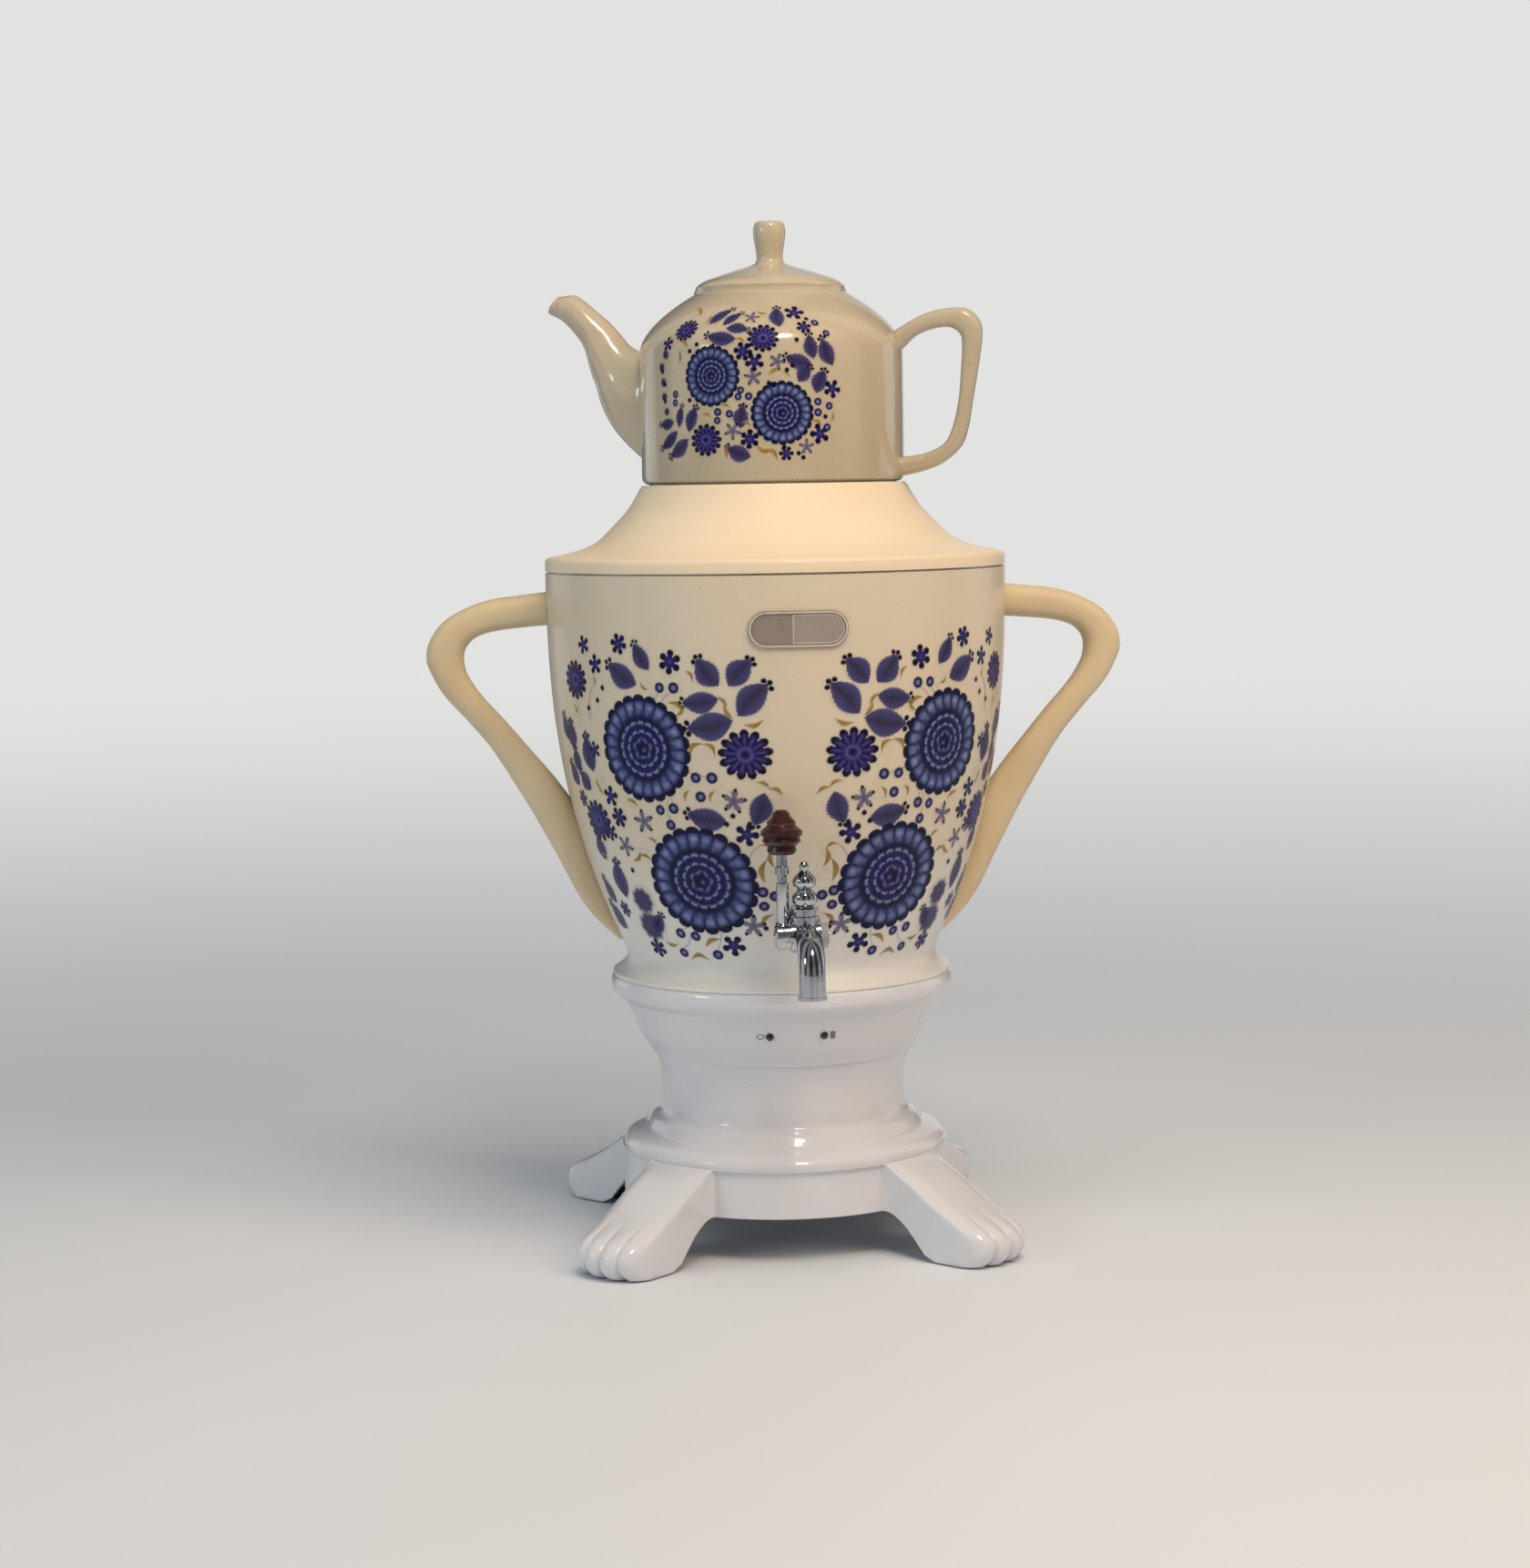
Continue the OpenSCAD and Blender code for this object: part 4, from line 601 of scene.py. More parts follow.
def petal_axes(x, y, size, turn, petals):
    """Coordinates along and across the nearest petal, as shares of the flower's size."""
    r, a = np.hypot(x, y) / size, np.arctan2(y, x) + turn
    off = (a % (2 * np.pi / petals)) - np.pi / petals
    return r, r * np.cos(off), np.abs(r * np.sin(off))


def blossom(x, y, size, turn):
    """A double flower: shells in dark caps, then two rings of beads round a mottled heart."""
    r, a = np.hypot(x, y) / size, np.arctan2(y, x) + turn
    p = petal_phase(a, BLOSSOM_PETALS)
    tone = 0.78 + 0.22 * np.sin(2.4 * np.floor(a * BLOSSOM_PETALS / (2 * np.pi)))
    edge = 0.905 + 0.095 * np.sqrt(1 - p**2)
    cap = edge - 0.125 + 0.06 * p**2
    mottle = 0.5 + 0.5 * np.sin(9 * a + 17 * r) * np.cos(5 * a - 33 * r)
    colour = layers(
        DEEP,
        (PETAL, step(0.54, 0.72, r)),
        (SHELL, tone * 0.95 * bump_at(r, 0.775, 0.065) * (1 - p**2) ** 1.6),
        (SHELL, 0.3 * bump_at(r, 0.67, 0.05) * bump_at(p, 0.3, 0.45)),
        (CAP, 0.75 * step(0.7, 1, np.abs(p)) * step(0.6, 0.8, r)),
        (CAP, step(cap - 0.022, cap + 0.022, r)),
        (CAP, 0.8 * bump_at(r, 0.555, 0.045)),
        (over(CAP * 1.25, VIOLET * 1.4, mottle * 0.8), step(0.5, 0.46, r)))
    for ring, beads, bead_w in BEAD_RINGS:
        off = petal_phase(a + ring, beads)
        arc = ring + 0.03 * (0.5 - off**2)
        colour = over(colour, SHELL, 0.9 * bump_at(r, arc, 0.5 * bead_w) * step(1, 0.45, np.abs(off)))
    core = 0.17 + 0.02 * np.sin(5 * a)
    spark = np.hypot(x - 0.03 * size, y + 0.02 * size) / size
    colour = layers(
        colour,
        (SHELL, 0.55 * bump_at(r, core, 0.026) * (0.65 + 0.35 * np.sin(7 * a))),
        (CAP, 0.8 * step(0.15, 0.1, r)),
        (SHELL, 0.45 * bump_at(spark, 0, 0.035)))
    return colour, soft((edge - r) * size)


def dark_flower(x, y, size, turn):
    """Club-shaped petals with nearly black tips and paler veins."""
    r, along, across = petal_axes(x, y / DARK_SQUEEZE, size, turn, 13)
    half = 0.065 + 0.135 * along
    club = np.maximum(np.where(along < 0.86, half - across, -1), 0.145 - np.hypot(along - 0.855, across))
    colour = layers(
        VIOLET * 1.25,
        (NIGHT, step(0.5, 1, across / half)),
        (HAZE, 0.5 * bump_at(across, 0, 0.035) * bump_at(along, 0.56, 0.2)),
        (NIGHT, step(0.74, 0.84, along)),
        (HAZE, 0.55 * bump_at(r, 0.24, 0.07)),
        (NIGHT, 0.7 * step(0.14, 0.08, r)))
    return colour, soft(np.maximum(club, 0.7 - r) * size)


def small_flower(x, y, size, turn, petals):
    """Round dark petals on short stalks."""
    r, along, across = petal_axes(x, y, size, turn, petals)
    stalk = np.where(along < 0.68, 0.23 - across, -1)
    club = np.maximum(stalk, 0.3 - np.hypot(along - 0.7, across))
    colour = layers(VIOLET * 1.2, (NIGHT, step(0.45, 0.72, along)), (HAZE, 0.3 * bump_at(r, 0.12, 0.1)))
    return colour, soft(np.maximum(club, 0.36 - r) * size)


def bud(x, y, size, turn):
    """A half-open flower: pale narrow petals, each with a dark dot at its tip."""
    r, along, across = petal_axes(x, y, size, turn, 5)
    blade = np.where(along < 0.74, 0.15 + 0.12 * along - across, -1)
    tip = 0.155 - np.hypot(along - 0.86, across)
    colour = layers(
        DUSK,
        (HAZE, 0.6 * bump_at(across, 0.08, 0.08)),
        (VIOLET, 0.7 * bump_at(r, 0, 0.22)),
        (NIGHT, step(0.74, 0.78, along)))
    return colour, np.maximum(0.85 * soft(np.maximum(blade, 0.3 - r) * size), soft(tip * size))


def berry(x, y, size):
    """A ring with a pale middle."""
    r, spark = np.hypot(x, y), np.hypot(x + 0.1 * size, y)
    ring = layers(
        DEEP,
        (HAZE * 1.5, step(0.52 * size, 0.34 * size, r)),
        (DEEP, 0.5 * bump_at(spark, 0, 0.2 * size)))
    return ring, soft(size - r)


def blob(x, y, size):
    """A soft round leaf, darker in the middle."""
    r = np.hypot(x, y) / size
    cover = 0.95 * step(1.05, 0.62, r + 0.05 * np.sin(9 * np.arctan2(y, x)))
    return over(DUSK, VIOLET * 1.1, step(0.9, 0.1, r)), cover


def dot(x, y, size):
    return NIGHT, soft(size - np.hypot(x, y))


def smudge(x, y, size, squeeze):
    """A faint yellow wash."""
    return OLIVE * 0.75 + GOLD * 0.7, 0.14 * step(1, 0, np.hypot(x, y / squeeze) / size)


def leaf(u, v, length, width):
    """A feathered leaf with a dark streak down its middle, and dots at the tip of a big one."""
    half = LEAF_WIDER * width / 2 * np.sin(np.pi * np.clip(u, 0, 1) ** 0.9) ** 0.85
    hatch = 0.5 + 0.5 * np.sin(2 * np.pi * (length * u / 1.7 + 0.3 * np.abs(v)))
    streak = np.exp(-((v / (0.3 * half + 0.3)) ** 2)) * step(-0.05, 0.35, u) * step(1.05, 0.8, u)
    colour = layers(
        DUSK * 2.1,
        (DUSK, 0.8 * hatch),
        (HAZE, 0.3 * step(0.5, 1, np.abs(v) / (half + 0.1))),
        (VIOLET * 0.55, 0.95 * streak))
    cover = 0.96 * step(-0.1, 0.9, half - np.abs(v) + 0.5 * hatch - 0.2) * (half > 0.05)
    if width > 4.4 * length / 14 and width > 4:
        for along, aside in ((0.965, 0.2), (1.03, -0.01), (0.955, -0.22)):
            tip = soft(0.115 * width - np.hypot((u - along) * length, v - aside * width))
            colour, cover = over(colour, NIGHT, tip), np.maximum(cover, tip)
    return colour, cover


def curl(u, v, length):
    """A tapered brush stroke."""
    half = 0.15 + 0.15 * length**0.9 * np.sin(np.pi * np.clip(u * 0.9 + 0.08, 0, 1)) ** 1.4
    inside = np.minimum(half - np.abs(v), np.minimum(u, 1 - u) * length + 0.2)
    return over(GOLD, OLIVE, step(0.2, 1, u)), 0.92 * soft(inside)


def stem(u, v, length):
    inside = np.minimum(0.24 - np.abs(v), np.minimum(u, 1 - u) * length)
    return DUSK * 0.6 + HAZE * 0.4, 0.6 * soft(inside)


def seed(k):
    """A repeatable share from 0 to 1 for the k-th motif."""
    return (k * 0.6180339887) % 1


class Transfer:
    """Printed inks on a turned surface: their colour and cover at the points of one thin curved film."""

    def __init__(self, radius, angles, heights, cell):
        """angles in degrees from the front towards +X, heights above the surface's own zero."""
        self.radius = radius
        middle_r = float(radius(sum(heights) / 2))
        self.angles = np.radians(np.arange(*angles, math.degrees(cell / middle_r)))
        self.heights = np.arange(*heights, cell)
        shape = (len(self.heights), len(self.angles))
        self.colour, self.cover = np.zeros((*shape, 3)), np.zeros(shape)

    def slope(self, height):
        """What the radius gains over a millimetre of height, and the way along the wall."""
        gain = self.radius(height + 0.5) - self.radius(height - 0.5)
        return gain, np.hypot(1, gain)

    def window(self, angle, height, reach):
        """The film's points within reach of a middle: their slices and distances in millimetres."""
        angle = math.radians(angle)
        rows = np.searchsorted(self.heights, (height - reach, height + reach))
        turn = reach / float(self.radius(height - reach))
        columns = np.searchsorted(self.angles, (angle - turn, angle + turn))
        part = (slice(*rows), slice(*columns))
        z = self.heights[part[0]][:, None]
        x = (self.angles[part[1]][None] - angle) * self.radius(z)
        return part, x, (z - height) * self.slope(height)[1]

    def lay(self, part, ink, cover):
        below = self.cover[part]
        total = cover + below * (1 - cover)
        share = cover / np.maximum(total, 1e-6)
        self.colour[part] = over(self.colour[part], ink, share)
        self.cover[part] = total

    def stamp(self, motif, angle, height, size, *rest):
        part, x, y = self.window(angle, height, size * 1.15 + 0.5)
        x, y = np.broadcast_arrays(x, y)
        self.lay(part, *motif(x, y, size, *rest))

    def stroke(self, motif, a0, z0, a1, z1, bend, *rest):
        """A motif along the way between two points, given along it (0 to 1) and across it."""
        angle, height = (a0 + a1) / 2, (z0 + z1) / 2
        r = float(self.radius(height))
        way = np.array([math.radians(a1 - a0) * r, (z1 - z0) * self.slope(height)[1]])
        length = float(np.hypot(*way))
        part, x, y = self.window(angle, height, length * 0.85 + 1)
        u = (x * way[0] + y * way[1]) / length**2 + 0.5
        v = (y * way[0] - x * way[1]) / length - bend * length * np.sin(np.pi * np.clip(u, 0, 1))
        self.lay(part, *motif(u, v, length, *rest))

    def cells(self):
        """The corners of the film's cells on which anything is printed."""
        inked = np.zeros(self.cover.shape, bool)
        for shift in ((i, k) for i in (-1, 0, 1) for k in (-1, 0, 1)):
            inked |= np.roll(self.cover, shift, (0, 1)) > LEAST_INK
        row, column = np.nonzero(inked[:-1, :-1] & inked[1:, :-1] & inked[:-1, 1:] & inked[1:, 1:])
        columns = self.cover.shape[1]
        first = row * columns + column
        return np.c_[first, first + 1, first + columns + 1, first + columns]

    def film(self, name, z0, turn, mirror, finish, body, slot):
        """The film's mesh. turn is about the axis, mirror swaps left and right."""
        used, corners = np.unique(self.cells(), return_inverse=True)
        corners = corners.reshape(-1, 4)
        columns = self.cover.shape[1]
        z, a = self.heights[used // columns], self.angles[used % columns]
        gain, along = self.slope(z)
        r, up = self.radius(z) + FILM_LIFT / along, z0 + z - FILM_LIFT * gain / along
        at = turn + (-a if mirror else a)
        if mirror:
            corners = corners[:, ::-1]
        obj = new_mesh(name, np.c_[r * np.sin(at), -r * np.cos(at), up], corners.tolist())
        mesh = obj.data
        inks = np.c_[self.colour.reshape(-1, 3)[used], self.cover.ravel()[used]]
        mesh.color_attributes.new("ink", "FLOAT_COLOR", "POINT").data.foreach_set(
            "color", np.clip(inks, 0, 1).astype(np.float32).ravel())
        flat = np.c_[a * float(self.radius(z.mean())), z]
        flat = (flat - flat.min(0)) / ((flat.max(0) - flat.min(0)).max() * MAP_ROOM) + MAP_EDGE
        index = np.zeros(len(mesh.loops), int)
        mesh.loops.foreach_get("vertex_index", index)
        mesh.uv_layers.new(name="OFBake").data.foreach_set("uv", flat[index].astype(np.float32).ravel())
        mesh.materials.append(finish.mat)
        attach(obj, body)


def printed(finish):
    """Adds the inks of the mesh's "ink" attribute to a glazed finish."""
    ink = finish.node("ShaderNodeAttribute", attribute_name="ink")
    worn = finish.range(finish.noise(1100, 2), 0.5, 0.8, 0, 0.05)
    ground = finish.bsdf.inputs["Base Color"].links[0].from_socket
    shade = finish.mix(worn, ink.outputs["Color"], linear("#9a9cb0"))
    for key, dull in (("Coat Weight", 0.05), ("Specular IOR Level", 0.12)):
        socket = finish.bsdf.inputs[key]
        finish.tree.links.new(finish.range(ink.outputs["Alpha"], 0, 1, socket.default_value, dull), socket)
    finish.colour(finish.mix(ink.outputs["Alpha"], ground, shade))
    return finish


BODY_PRINT = printed(enamel("printed_enamel", *CREAM_TONES, **CREAM_KIND))
POT_PRINT = printed(porcelain("printed_porcelain", *PORCELAIN_TONES))

# One side of the body: degrees from the front towards the left, height, size in millimetres
BODY_BLOSSOMS = [(-40.8, 249, 26), (-28.4, 186, 28.2)]
BODY_SMALL = [(-59.4, 297, 4.6), (-46.2, 298, 5.2), (-54.9, 288, 4.9), (-31.4, 290, 5.9), (-54.8, 225, 5.3),
    (-53, 215, 5.3), (-13.9, 209, 5.9), (-52.8, 150, 5.3), (-21.2, 154, 6), (-70, 222, 4.6),
    (-58, 207, 4.6), (-64, 168, 4.6), (-58.5, 247, 4.2)]
BODY_DARK = [(-64.3, 280, 10.4, 0.3), (-13.3, 247, 13.2, 0.1), (-63.5, 212, 11.4, 0.2)]
BODY_BLOBS = [(-52.2, 161, 9), (-52.2, 174, 8)]
BODY_BUDS = [(-16.8, 225, 6.3, 0.5), (-43.8, 214, 6.1, 0.2), (-52.9, 201, 5.4, 0.9), (-13.9, 164, 6.4, 0.4)]
BODY_BERRIES = [(-34.5, 278), (-30.7, 278), (-26.4, 236), (-22.1, 236), (-25.5, 227), (-37.7, 220),
    (-33.6, 221), (-35.1, 213), (-10.4, 181), (-6.9, 179), (-10.2, 174), (-39.9, 159), (-34.3, 158),
    (-41, 149), (-27.5, 149)]
BODY_DOTS = [(-52.7, 277), (-55, 271), (-59, 267), (-19.1, 214), (-17.3, 218), (-52.7, 189), (-10, 163)]
BODY_SMUDGES = [(-38.5, 279, 5, 1), (-30.5, 270, 5, 0.8), (-58, 281, 4, 1.3), (-66, 264, 5, 1.5),
    (-22.5, 249, 5, 0.9), (-59, 230, 5, 1.2), (-30, 231, 4, 1.4), (-21, 229, 4, 1.4), (-47, 197, 6, 0.7),
    (-8.5, 203, 5, 1), (-7.5, 192, 5, 1.4), (-45, 153, 5, 0.8), (-28.5, 155, 5, 0.8), (-9.5, 168, 5, 1),
    (-47, 222, 5, 0.8)]
BODY_LEAVES = [(-41.5, 299, -37.2, 286, 8.2), (-50.3, 289, -41.1, 279, 10.8),
    (-24.6, 292, -19.2, 279, 10.8), (-11.1, 291, -16.9, 279, 10.8), (-7.2, 280, -14.8, 265, 12),
    (-29, 271, -19.3, 273, 9.7), (-28, 259, -16, 263, 12.5), (-69.9, 260, -69.5, 246, 10.5),
    (-62.1, 254, -60.8, 236, 11), (-69.2, 247, -68.4, 235, 9), (-68.1, 236, -63.7, 227, 9),
    (-30.1, 219, -18.9, 215, 10.8), (-12, 213, -8.8, 229, 10.2), (-59.8, 193, -60.3, 174, 11),
    (-72.6, 183, -68.5, 170, 9), (-75.1, 170, -68.8, 157, 11), (-74.5, 263, -72, 250, 9),
    (-74, 240, -70.5, 228, 9), (-66.5, 205, -65.5, 192, 9), (-45.5, 168, -50.5, 158, 8)]
BODY_CURLS = [(-27.2, 286, -25.6, 281, 0.3), (-39.9, 280, -37.9, 277, -0.3), (-32.3, 271, -28.8, 267, 0.4),
    (-13.1, 261, -8.8, 263, -0.3), (-66.2, 268, -64.8, 263, 0.2), (-56.2, 282, -55.5, 278, 0.3),
    (-23.9, 252, -21, 246, 0.5), (-27.4, 246, -23.9, 252, 0.5), (-10.6, 234, -7.6, 231, 0.3),
    (-7.6, 231, -4.4, 228, 0.3), (-60.1, 233, -58.6, 228, -0.3), (-59.8, 228, -58.1, 225, 0.3),
    (-29.9, 225, -28.5, 230, 0.3), (-23, 225, -21.6, 230, 0.3), (-10.3, 204, -7.3, 202, 0.3),
    (-7.3, 202, -6.8, 193, -0.3), (-9.7, 186, -8.8, 197, 0.3), (-38.3, 146, -31.6, 146, 0.5),
    (-47.7, 154, -42.6, 153, -0.3), (-31.3, 153, -25.4, 157, 0.3), (-11.2, 164, -7.6, 170, 0.3),
    (-47.8, 197, -43.9, 195, 0.3), (-50.9, 194, -47.4, 199, -0.3), (-48.6, 224, -45, 221, 0.3),
    (-67.1, 195, -64, 193, 0.3), (-28.4, 270, -30.5, 265, 0.3), (-19.6, 274, -17.4, 269, 0.2),
    (-18.2, 270, -16, 264, -0.2), (-43.3, 206, -40.7, 203, 0.3)]

# Stems from a flower or leaf to its berries
BODY_STEMS = [(-36.5, 270, -34.5, 276, 0.1), (-34.5, 270, -30.7, 276, 0.15), (-30, 240, -26.4, 236, 0.1),
    (-28, 238, -22.1, 234, 0.1), (-36.5, 228, -37.7, 222, 0.1), (-34.5, 227, -33.6, 223, 0.1),
    (-34.8, 226, -35.1, 215, -0.1), (-17, 186, -10.4, 182, 0.12), (-16, 182, -6.9, 179, -0.12),
    (-16, 178, -10.2, 174, -0.1), (-33, 166, -39.9, 161, 0.1), (-31, 164, -34.3, 160, 0.1),
    (-36, 160, -41, 151, 0.15), (-25, 163, -27.5, 151, 0.1), (-59, 262, -56.5, 278, 0.1),
    (-17.5, 230, -17.3, 219, 0.1), (-14, 196, -10.2, 204, 0.1)]


def flowers(film, blobs, blossoms, darks, smalls, buds, berries, dots, leaves, curls, smudges,
            berry_size, dot_size, first, stems=(), fuller=1.0):
    """Lays a whole spray. A leaf is given from its tip to its base, a curl or stem by its two ends and bend.
    fuller makes leaves and small flowers larger about their own middles."""
    for a0, z0, a1, z1, bend in stems:
        film.stroke(stem, a0, z0, a1, z1, bend)
    for a, z, size in blobs:
        film.stamp(blob, a, z, size)
    for a, z, size, squeeze in smudges:
        film.stamp(smudge, a, z, size, squeeze)
    for a1, z1, a0, z0, width in leaves:
        more_a, more_z = ((fuller - 1) / 4 * d for d in (a1 - a0, z1 - z0))
        film.stroke(leaf, a0 - more_a, z0 - more_z, a1 + more_a, z1 + more_z, 0.05, fuller * width)
    for a0, z0, a1, z1, bend in curls:
        film.stroke(curl, a0, z0, a1, z1, 0.6 * bend)
    for k, (a, z, size) in enumerate(blossoms):
        film.stamp(blossom, a, z, size, seed(k + first) * 0.4)
    for a, z, size, turn in darks:
        film.stamp(dark_flower, a, z, size * (0.6 + 0.4 * fuller), turn)
    for k, (a, z, size) in enumerate(smalls):
        turn = 2 * math.pi * seed(k + first)
        film.stamp(small_flower, a, z, size * (0.35 + 0.65 * fuller), turn, 5 + k % 2)
    for a, z, size, turn in buds:
        film.stamp(bud, a, z, size * (0.5 + 0.5 * fuller), turn)
    for k, (a, z) in enumerate(berries):
        film.stamp(berry, a, z, berry_size * (0.94 + 0.12 * seed(k)))
    for a, z in dots:
        film.stamp(dot, a, z, dot_size)


body_film = Transfer(wall_r, angles=(-79, -1), heights=(138, 306), cell=0.42)
flowers(body_film, BODY_BLOBS, BODY_BLOSSOMS, BODY_DARK, BODY_SMALL, BODY_BUDS, BODY_BERRIES, BODY_DOTS,
        BODY_LEAVES, BODY_CURLS, BODY_SMUDGES, berry_size=2.7, dot_size=1.35, first=0, stems=BODY_STEMS)
body_film.film("transfer_left", 0, 0, False, BODY_PRINT, "samovar", "cream_enamel")
body_film.film("transfer_right", 0, 0, True, BODY_PRINT, "samovar", "cream_enamel")

# The teapot's smaller spray, in the same measures above its seat
POT_BLOSSOMS = [(-13.1, 51, 14.6), (17.4, 33, 15.2)]
POT_DARK = [(-27.9, 73, 5.7, 0.1), (9.8, 68, 6.5, 0.4), (-16.1, 21, 7.2, 0.2)]
POT_SMALL = [(24.8, 80, 3.8), (27.9, 73, 2.9), (39.3, 44, 3.5), (1.3, 62, 3.6), (6.1, 57, 3.6),
    (3.5, 21, 3.7), (33.4, 23, 3.9), (18.8, 14, 2.8), (-36.8, 67, 2.8)]
POT_BUDS = [(5.3, 50, 3.5, 0.2), (15.6, 57, 3.2, 0.7), (4.2, 78, 3.1, 0.5), (-3.8, 25, 3.5, 0.9),
    (27.5, 17, 3.1, 0.3)]
POT_BERRIES = [(0, 44), (3.4, 41), (-1.1, 41), (-10.3, 34), (-5.1, 33), (-10.6, 30), (32.7, 38), (37.8, 36),
    (32.7, 33), (36.7, 26), (37.6, 70), (33.5, 75), (-32.1, 43), (-32.3, 39)]
POT_DOTS = [(19.6, 53), (-40.5, 54), (-38.8, 48), (-39, 40), (-23.5, 63), (18, 17), (22, 55), (24, 67),
    (30, 77), (-20, 66), (-24, 40), (-12, 65), (12, 47), (14, 46), (36, 31), (26, 12), (24, 14), (-2, 57)]
POT_LEAVES = [(-7.5, 82, -15.8, 76, 4), (-1.6, 80, -8.5, 75, 3.6), (-14.7, 70, -2.9, 68, 4.9),
    (2.8, 72, -6.1, 73, 4.2), (16.4, 82, 16.9, 74, 4.9), (29.6, 69, 31.1, 59, 4.7),
    (35.3, 67, 39.3, 56, 5.3), (19.6, 59, 29.2, 56, 4.9), (29.4, 54, 24.9, 48, 4.7),
    (35.7, 52, 32.3, 43, 5.3), (-28.4, 37, -30.1, 28, 3.4), (-20.9, 36, -24.6, 26, 4.6),
    (-42.2, 29, -34.1, 30, 3.8), (-41.6, 18, -32.1, 25, 4.2), (-35.3, 14, -26.1, 21, 4.9),
    (0.9, 36, -0.3, 27, 5.1), (-5.8, 17, 3, 13, 5.3)]
POT_BLOBS = [(-41, 56, 2.6), (-40, 49, 2.4), (-39.5, 42, 2.4), (-38, 35, 2.2), (-38, 62, 2.6),
    (-9, 59, 2.2)]
POT_CURLS = [(-2, 68, 2.1, 66, 0.3), (6.2, 81, 11.4, 80, -0.3), (-17.4, 33, -13.9, 32, 0.3),
    (12.1, 51, 17.3, 53, 0.3), (-8.6, 37, -5, 36, 0.3), (-7.6, 18, -6.8, 12, 0.2),
    (6.5, 18, 12.4, 15, -0.3), (9.9, 16, 14.9, 11, 0.4), (39.7, 33, 38.6, 29, 0.2),
    (-29.7, 68, -24.6, 65, 0.3), (-30.5, 84, -24.2, 80, 0.2), (18.1, 52, 20.6, 50, 0.3),
    (-17.4, 80, -18.2, 76, 0.2), (-29.2, 63, -29.3, 58, 0.2), (0.6, 29, 4.1, 27, 0.3),
    (29.9, 29, 34.4, 27, 0.3)]
POT_SMUDGES = [(0, 67, 3, 1), (9, 80, 3.5, 0.7), (-15, 33, 3.5, 0.8), (14, 52, 3.5, 0.8), (-7, 36, 3, 0.8),
    (-7, 15, 3, 1.3), (10, 15, 4, 0.7), (-27, 66, 3.5, 0.9), (-27, 82, 4, 0.8), (32, 28, 3.5, 0.8)]
pot_film = Transfer(pot_r, angles=(-48, 48), heights=(8, 89), cell=0.3)
flowers(pot_film, POT_BLOBS, POT_BLOSSOMS, POT_DARK, POT_SMALL, POT_BUDS, POT_BERRIES, POT_DOTS,
        POT_LEAVES, POT_CURLS, POT_SMUDGES, berry_size=1.9, dot_size=1.15, first=5, fuller=1.45)
pot_film.film("pot_transfer_front", POT_Z, POT_TURN, False, POT_PRINT, "teapot", "porcelain")
pot_film.film("pot_transfer_back", POT_Z, POT_TURN + math.pi, False, POT_PRINT, "teapot", "porcelain")

# ---- badge trim and marks beside the indicator lamps ----

LAMP_SIDE, LAMP_UP, MARK_LIFT = 13, 64, 0.06
# Half widths and heights of the ring's two edges and of the bar, and how far they are from the lamps
RING_HALVES, BAR_HALVES, RING_AWAY, BAR_AWAY = ((1.95, 1.35), (1.45, 0.85)), (1.3, 2), 4.4, 4.2
BADGE_IN, BADGE_RIM, PANEL_IN, PANEL_RIM, PANEL_FROM = 0.35, 0.9, 1.8, 0.55, 0.44
PANEL_LIFT, RIM_LIFT, PANEL_RIM_LIFT = 0.1, 0.12, 0.14
BAR_POWER, IN_FRONT = 0.4, 200


def laid_on(name, node, outline, faces, lift, finish):
    """A thin piece drawn as seen from the front (x and z), laid on a CAD node's surface."""
    tree = BVHTree.FromObject(NODES[node], bpy.context.evaluated_depsgraph_get())
    points = []
    for x, z in outline:
        hit = tree.ray_cast(Vector((x, -IN_FRONT, z)) * MM, Vector((0, 1, 0)))[0] / MM
        points.append((hit.x, hit.y - lift, hit.z))
    obj = new_mesh(name, points, faces)
    obj.data.materials.append(finish.mat)
    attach(obj, "samovar")


def lamp_marks():
    """A thin grey ring left of the left lamp and a grey bar right of the right one, on the column's bowl."""
    count, middle = 48, FOOT_H + LAMP_UP
    turn = np.linspace(0, 2 * np.pi, count + 1)[:-1]
    c, s = np.cos(turn), np.sin(turn)
    outlines = [np.c_[-LAMP_SIDE - RING_AWAY + half_w * c, middle + half_h * s]
                for half_w, half_h in RING_HALVES]
    c, s = (half * np.sign(v) * np.abs(v) ** BAR_POWER for half, v in zip(BAR_HALVES, (c, s)))
    outlines.append(np.c_[LAMP_SIDE + BAR_AWAY + c, middle + s])
    faces = ring_faces(2, count) + [tuple(range(2 * count, 3 * count))]
    grey = enamel("grey_print", "#7f7c79", "#76736f", coat=0.2)
    laid_on("lamp_marks", "column", np.concatenate(outlines), faces, MARK_LIFT, grey)


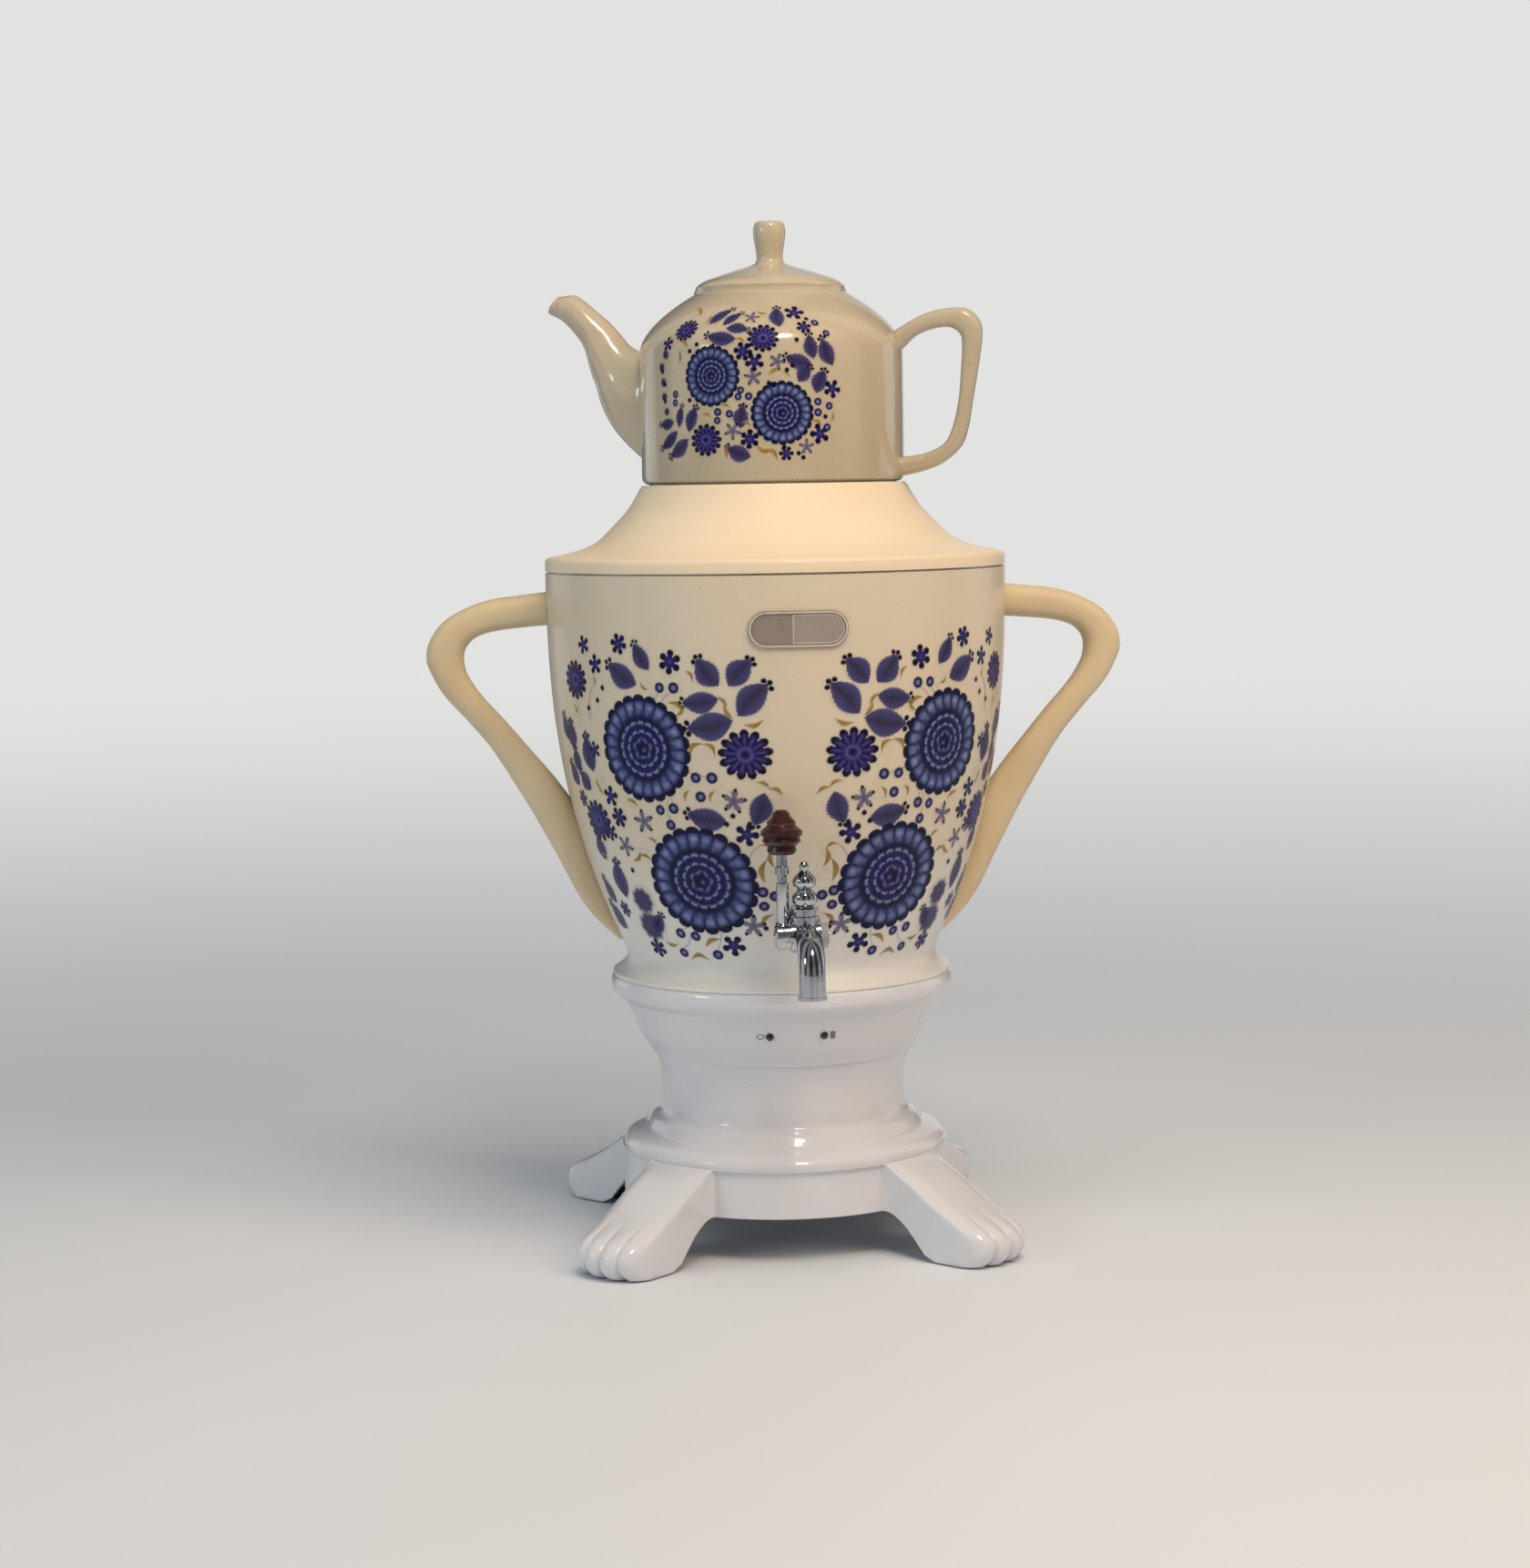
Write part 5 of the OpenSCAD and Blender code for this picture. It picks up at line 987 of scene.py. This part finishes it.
def badge_trim():
    """The plate's bright edge, and a lighter panel with an edge of its own over its right part."""
    low, high = ([v / MM for v in corner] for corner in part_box("badge"))
    middle_x, middle_z = (low[0] + high[0]) / 2, (low[2] + high[2]) / 2
    half_h, half_w = (high[2] - low[2]) / 2, (high[0] - low[0]) / 2
    split = middle_x + (2 * PANEL_FROM - 1) * half_w

    def reach(x, inset):
        """Half the height of the round-ended plate at x."""
        r = half_h - inset
        past = np.clip(np.abs(x - middle_x) - (half_w - half_h), 0, r)
        return np.sqrt(r * r - past * past)

    def across(left, inset):
        """Places from left to right, close together so that they follow the body's curve."""
        right = middle_x + half_w - inset
        return left + (right - left) * (1 - np.cos(np.linspace(0, np.pi, 60))) / 2

    def outline(inset, left=None):
        """The plate's outline, with a straight left end where left is given."""
        x = across(middle_x - half_w + inset if left is None else left, inset)
        back = x[-2:0:-1] if left is None else x[-2::-1]
        return np.concatenate([np.c_[x, middle_z - reach(x, inset)],
                               np.c_[back, middle_z + reach(back, inset)]])

    bright = metal("badge_bright", "#ddd2c8", "#d3c8be", gloss=0.4, shine=0.35, waves=LEVEL)
    inset, left = PANEL_IN + PANEL_RIM, split + PANEL_RIM
    for name, rims, lift in (
            ("badge_rim", (outline(BADGE_IN), outline(BADGE_IN + BADGE_RIM)), RIM_LIFT),
            ("badge_panel_rim", (outline(PANEL_IN, split), outline(inset, left)), PANEL_RIM_LIFT)):
        laid_on(name, "badge", np.concatenate(rims), ring_faces(2, len(rims[0])), lift, bright)
    panel = metal("badge_panel", "#b8aca3", "#b0a39a", gloss=0.4, shine=0.5, waves=LEVEL)
    x, rows = across(left, inset)[:-1], 5
    grid = [(v, middle_z + t * h) for v, h in zip(x, reach(x, inset)) for t in np.linspace(-1, 1, rows)]
    firsts = [k * rows + j for k in range(len(x) - 1) for j in range(rows - 1)]
    cells = [(a, a + rows, a + rows + 1, a + 1) for a in firsts]
    laid_on("badge_panel", "badge", grid, cells, PANEL_LIFT, panel)


badge_trim()
lamp_marks()

# ---- camera ----

CAMERA_TURN, CAMERA_OUT, CAMERA_UP = math.radians(-5.3), 1.53, 0.370
AIM_LEFT, AIM_UP, ROLL, FOCAL = 0.00675, 0.223, math.radians(-1.0), 71.1
out = Vector((math.sin(CAMERA_TURN), -math.cos(CAMERA_TURN), 0))
rightward = Vector((math.cos(CAMERA_TURN), math.sin(CAMERA_TURN), 0))
aim = -AIM_LEFT * rightward + Vector((0, 0, AIM_UP))
camera_data = bpy.data.cameras.new("camera")
camera_data.sensor_width, camera_data.lens = 36, FOCAL
camera = bpy.data.objects.new("camera", camera_data)
bpy.context.scene.collection.objects.link(camera)
camera.location = out * CAMERA_OUT + Vector((0, 0, CAMERA_UP))
camera.rotation_mode = "QUATERNION"
look = (aim - camera.location).to_track_quat("-Z", "Y")
camera.rotation_quaternion = look @ Quaternion((0, 0, 1), ROLL)
bpy.context.scene.camera = camera

# ---- floor, world and lamps ----

PAPER, BACKDROP = "#d9dfe7", "#e2e2e1"
FLOOR_R, FLOOR_COUNT, FLOOR_RINGS = 9000, 96, 24
FADE_NEAR, FADE_FAR, FADE_OFFSET = 0.45, 5.0, 1.2


def floor():
    """A wide pale sheet that fades into the background far behind the part."""
    points = [(0, 0, 0)]
    for i in range(1, FLOOR_RINGS + 1):
        r = FLOOR_R * (i / FLOOR_RINGS) ** 2
        turns = [2 * math.pi * k / FLOOR_COUNT for k in range(FLOOR_COUNT)]
        points += [(r * math.cos(a), r * math.sin(a), 0) for a in turns]
    faces = [(0, 1 + k, 1 + (k + 1) % FLOOR_COUNT) for k in range(FLOOR_COUNT)]
    faces += [tuple(i + 1 for i in face[::-1]) for face in ring_faces(FLOOR_RINGS, FLOOR_COUNT)]
    obj = new_mesh("floor", points, faces)
    paper = Finish("paper", Base_Color=[*linear(PAPER), 1], Roughness=0.6, Specular_IOR_Level=0.2)
    place = paper.node("ShaderNodeNewGeometry").outputs["Position"]
    away = paper.node("ShaderNodeVectorMath", {0: place}, operation="LENGTH").outputs["Value"]
    share = paper.math("DIVIDE", 1, paper.math("ADD", away, FADE_OFFSET))
    fade = paper.range(share, 1 / (FADE_NEAR + FADE_OFFSET), 1 / (FADE_FAR + FADE_OFFSET))
    clear = paper.node("ShaderNodeBsdfTransparent").outputs[0]
    shade = paper.node("ShaderNodeMixShader", {0: fade, 1: paper.bsdf.outputs[0], 2: clear}).outputs[0]
    paper.tree.links.new(shade, paper.tree.nodes["Material Output"].inputs["Surface"])
    obj.data.materials.append(paper.mat)


floor()

# The room's grey by height, from straight down to straight up
ROOM_GREYS = ((0.36, 0.75), (0.47, 1.0), (0.56, 0.9), (0.72, 0.5))
ROOM_LOWEST, ROOM_HIGHEST = (0.30, 0.30, 0.30, 1), (0.55, 0.55, 0.56, 1)
ROOM_FRONT, ROOM_BACK, PANES, PANE_DARK, PANE_BRIGHT = 0.14, 0.42, 7, 0.3, 1.7


def sky():
    """The backdrop for the camera. For light and reflections a room: dimmer in front, darker above and
    below, and with bright and dark panes round it that streak the chrome."""
    world = bpy.data.worlds.new("studio")
    bpy.context.scene.world = world
    world.use_nodes = True
    world.node_tree.nodes.clear()
    n = Nodes(world.node_tree)
    toward = n.node("ShaderNodeTexCoord").outputs["Generated"]
    x, y, z = n.node("ShaderNodeSeparateXYZ", {0: toward}).outputs
    ramp = n.node("ShaderNodeValToRGB", {"Fac": n.range(z, -1, 1, how="LINEAR")})
    ramp.color_ramp.interpolation = "EASE"
    stops = ramp.color_ramp.elements
    stops[0].position, stops[0].color = 0, ROOM_LOWEST
    stops[1].position, stops[1].color = 1, ROOM_HIGHEST
    for position, grey in ROOM_GREYS:
        stops.new(position).color = (grey, grey, grey, 1)
    front = n.range(y, -1, 0.3, ROOM_FRONT, ROOM_BACK, "LINEAR")
    wave = n.math("SINE", n.math("MULTIPLY", n.math("ARCTAN2", x, y), PANES))
    panes = n.range(wave, -0.3, 0.3, PANE_DARK, PANE_BRIGHT, "LINEAR")
    light = {"Color": ramp.outputs["Color"], "Strength": n.math("MULTIPLY", front, panes)}
    room = n.node("ShaderNodeBackground", light).outputs[0]
    plain = n.node("ShaderNodeBackground", {"Color": [*linear(BACKDROP), 1], "Strength": 1}).outputs[0]
    seen = n.node("ShaderNodeLightPath").outputs["Is Camera Ray"]
    both = n.node("ShaderNodeMixShader", {0: seen, 1: room, 2: plain}).outputs[0]
    n.node("ShaderNodeOutputWorld", {"Surface": both})


sky()

LAMP_AIM = 0.25


def lamp(name, place, size, watts, tint=(1, 1, 1), shows=False):
    """A round lamp; the wide ones light the part without showing in its gloss."""
    data = bpy.data.lights.new(name, "AREA")
    data.shape, data.size = "DISK", size
    data.energy, data.color = watts, tint
    obj = bpy.data.objects.new(name, data)
    obj.visible_glossy, obj.visible_camera = shows, False
    obj.location = place
    obj.rotation_mode = "QUATERNION"
    obj.rotation_quaternion = (Vector((0, 0, LAMP_AIM)) - Vector(place)).to_track_quat("-Z", "Y")
    bpy.context.scene.collection.objects.link(obj)


lamp("key", (1.4, -1.3, 1.2), 1.1, 10, (1, 0.84, 0.7))
lamp("fill", (-1.7, -1.1, 0.7), 1.3, 8, (0.88, 0.97, 1))
lamp("top", (0.2, -0.6, 1.9), 1.2, 15, (1, 0.88, 0.75))
lamp("rim", (0.4, 1.7, 1.2), 1.0, 3)
lamp("glow", (0.4, -0.65, 0.85), 0.5, 2.2, (1, 0.62, 0.3))
lamp("ceiling", (0.15, -1.1, 1.6), 0.36, 5, (1, 0.92, 0.8), True)
lamp("window", (-1.5, -0.75, 0.85), 0.3, 1.8, (0.95, 1, 1), True)

bpy.context.scene.view_settings.view_transform = "Standard"
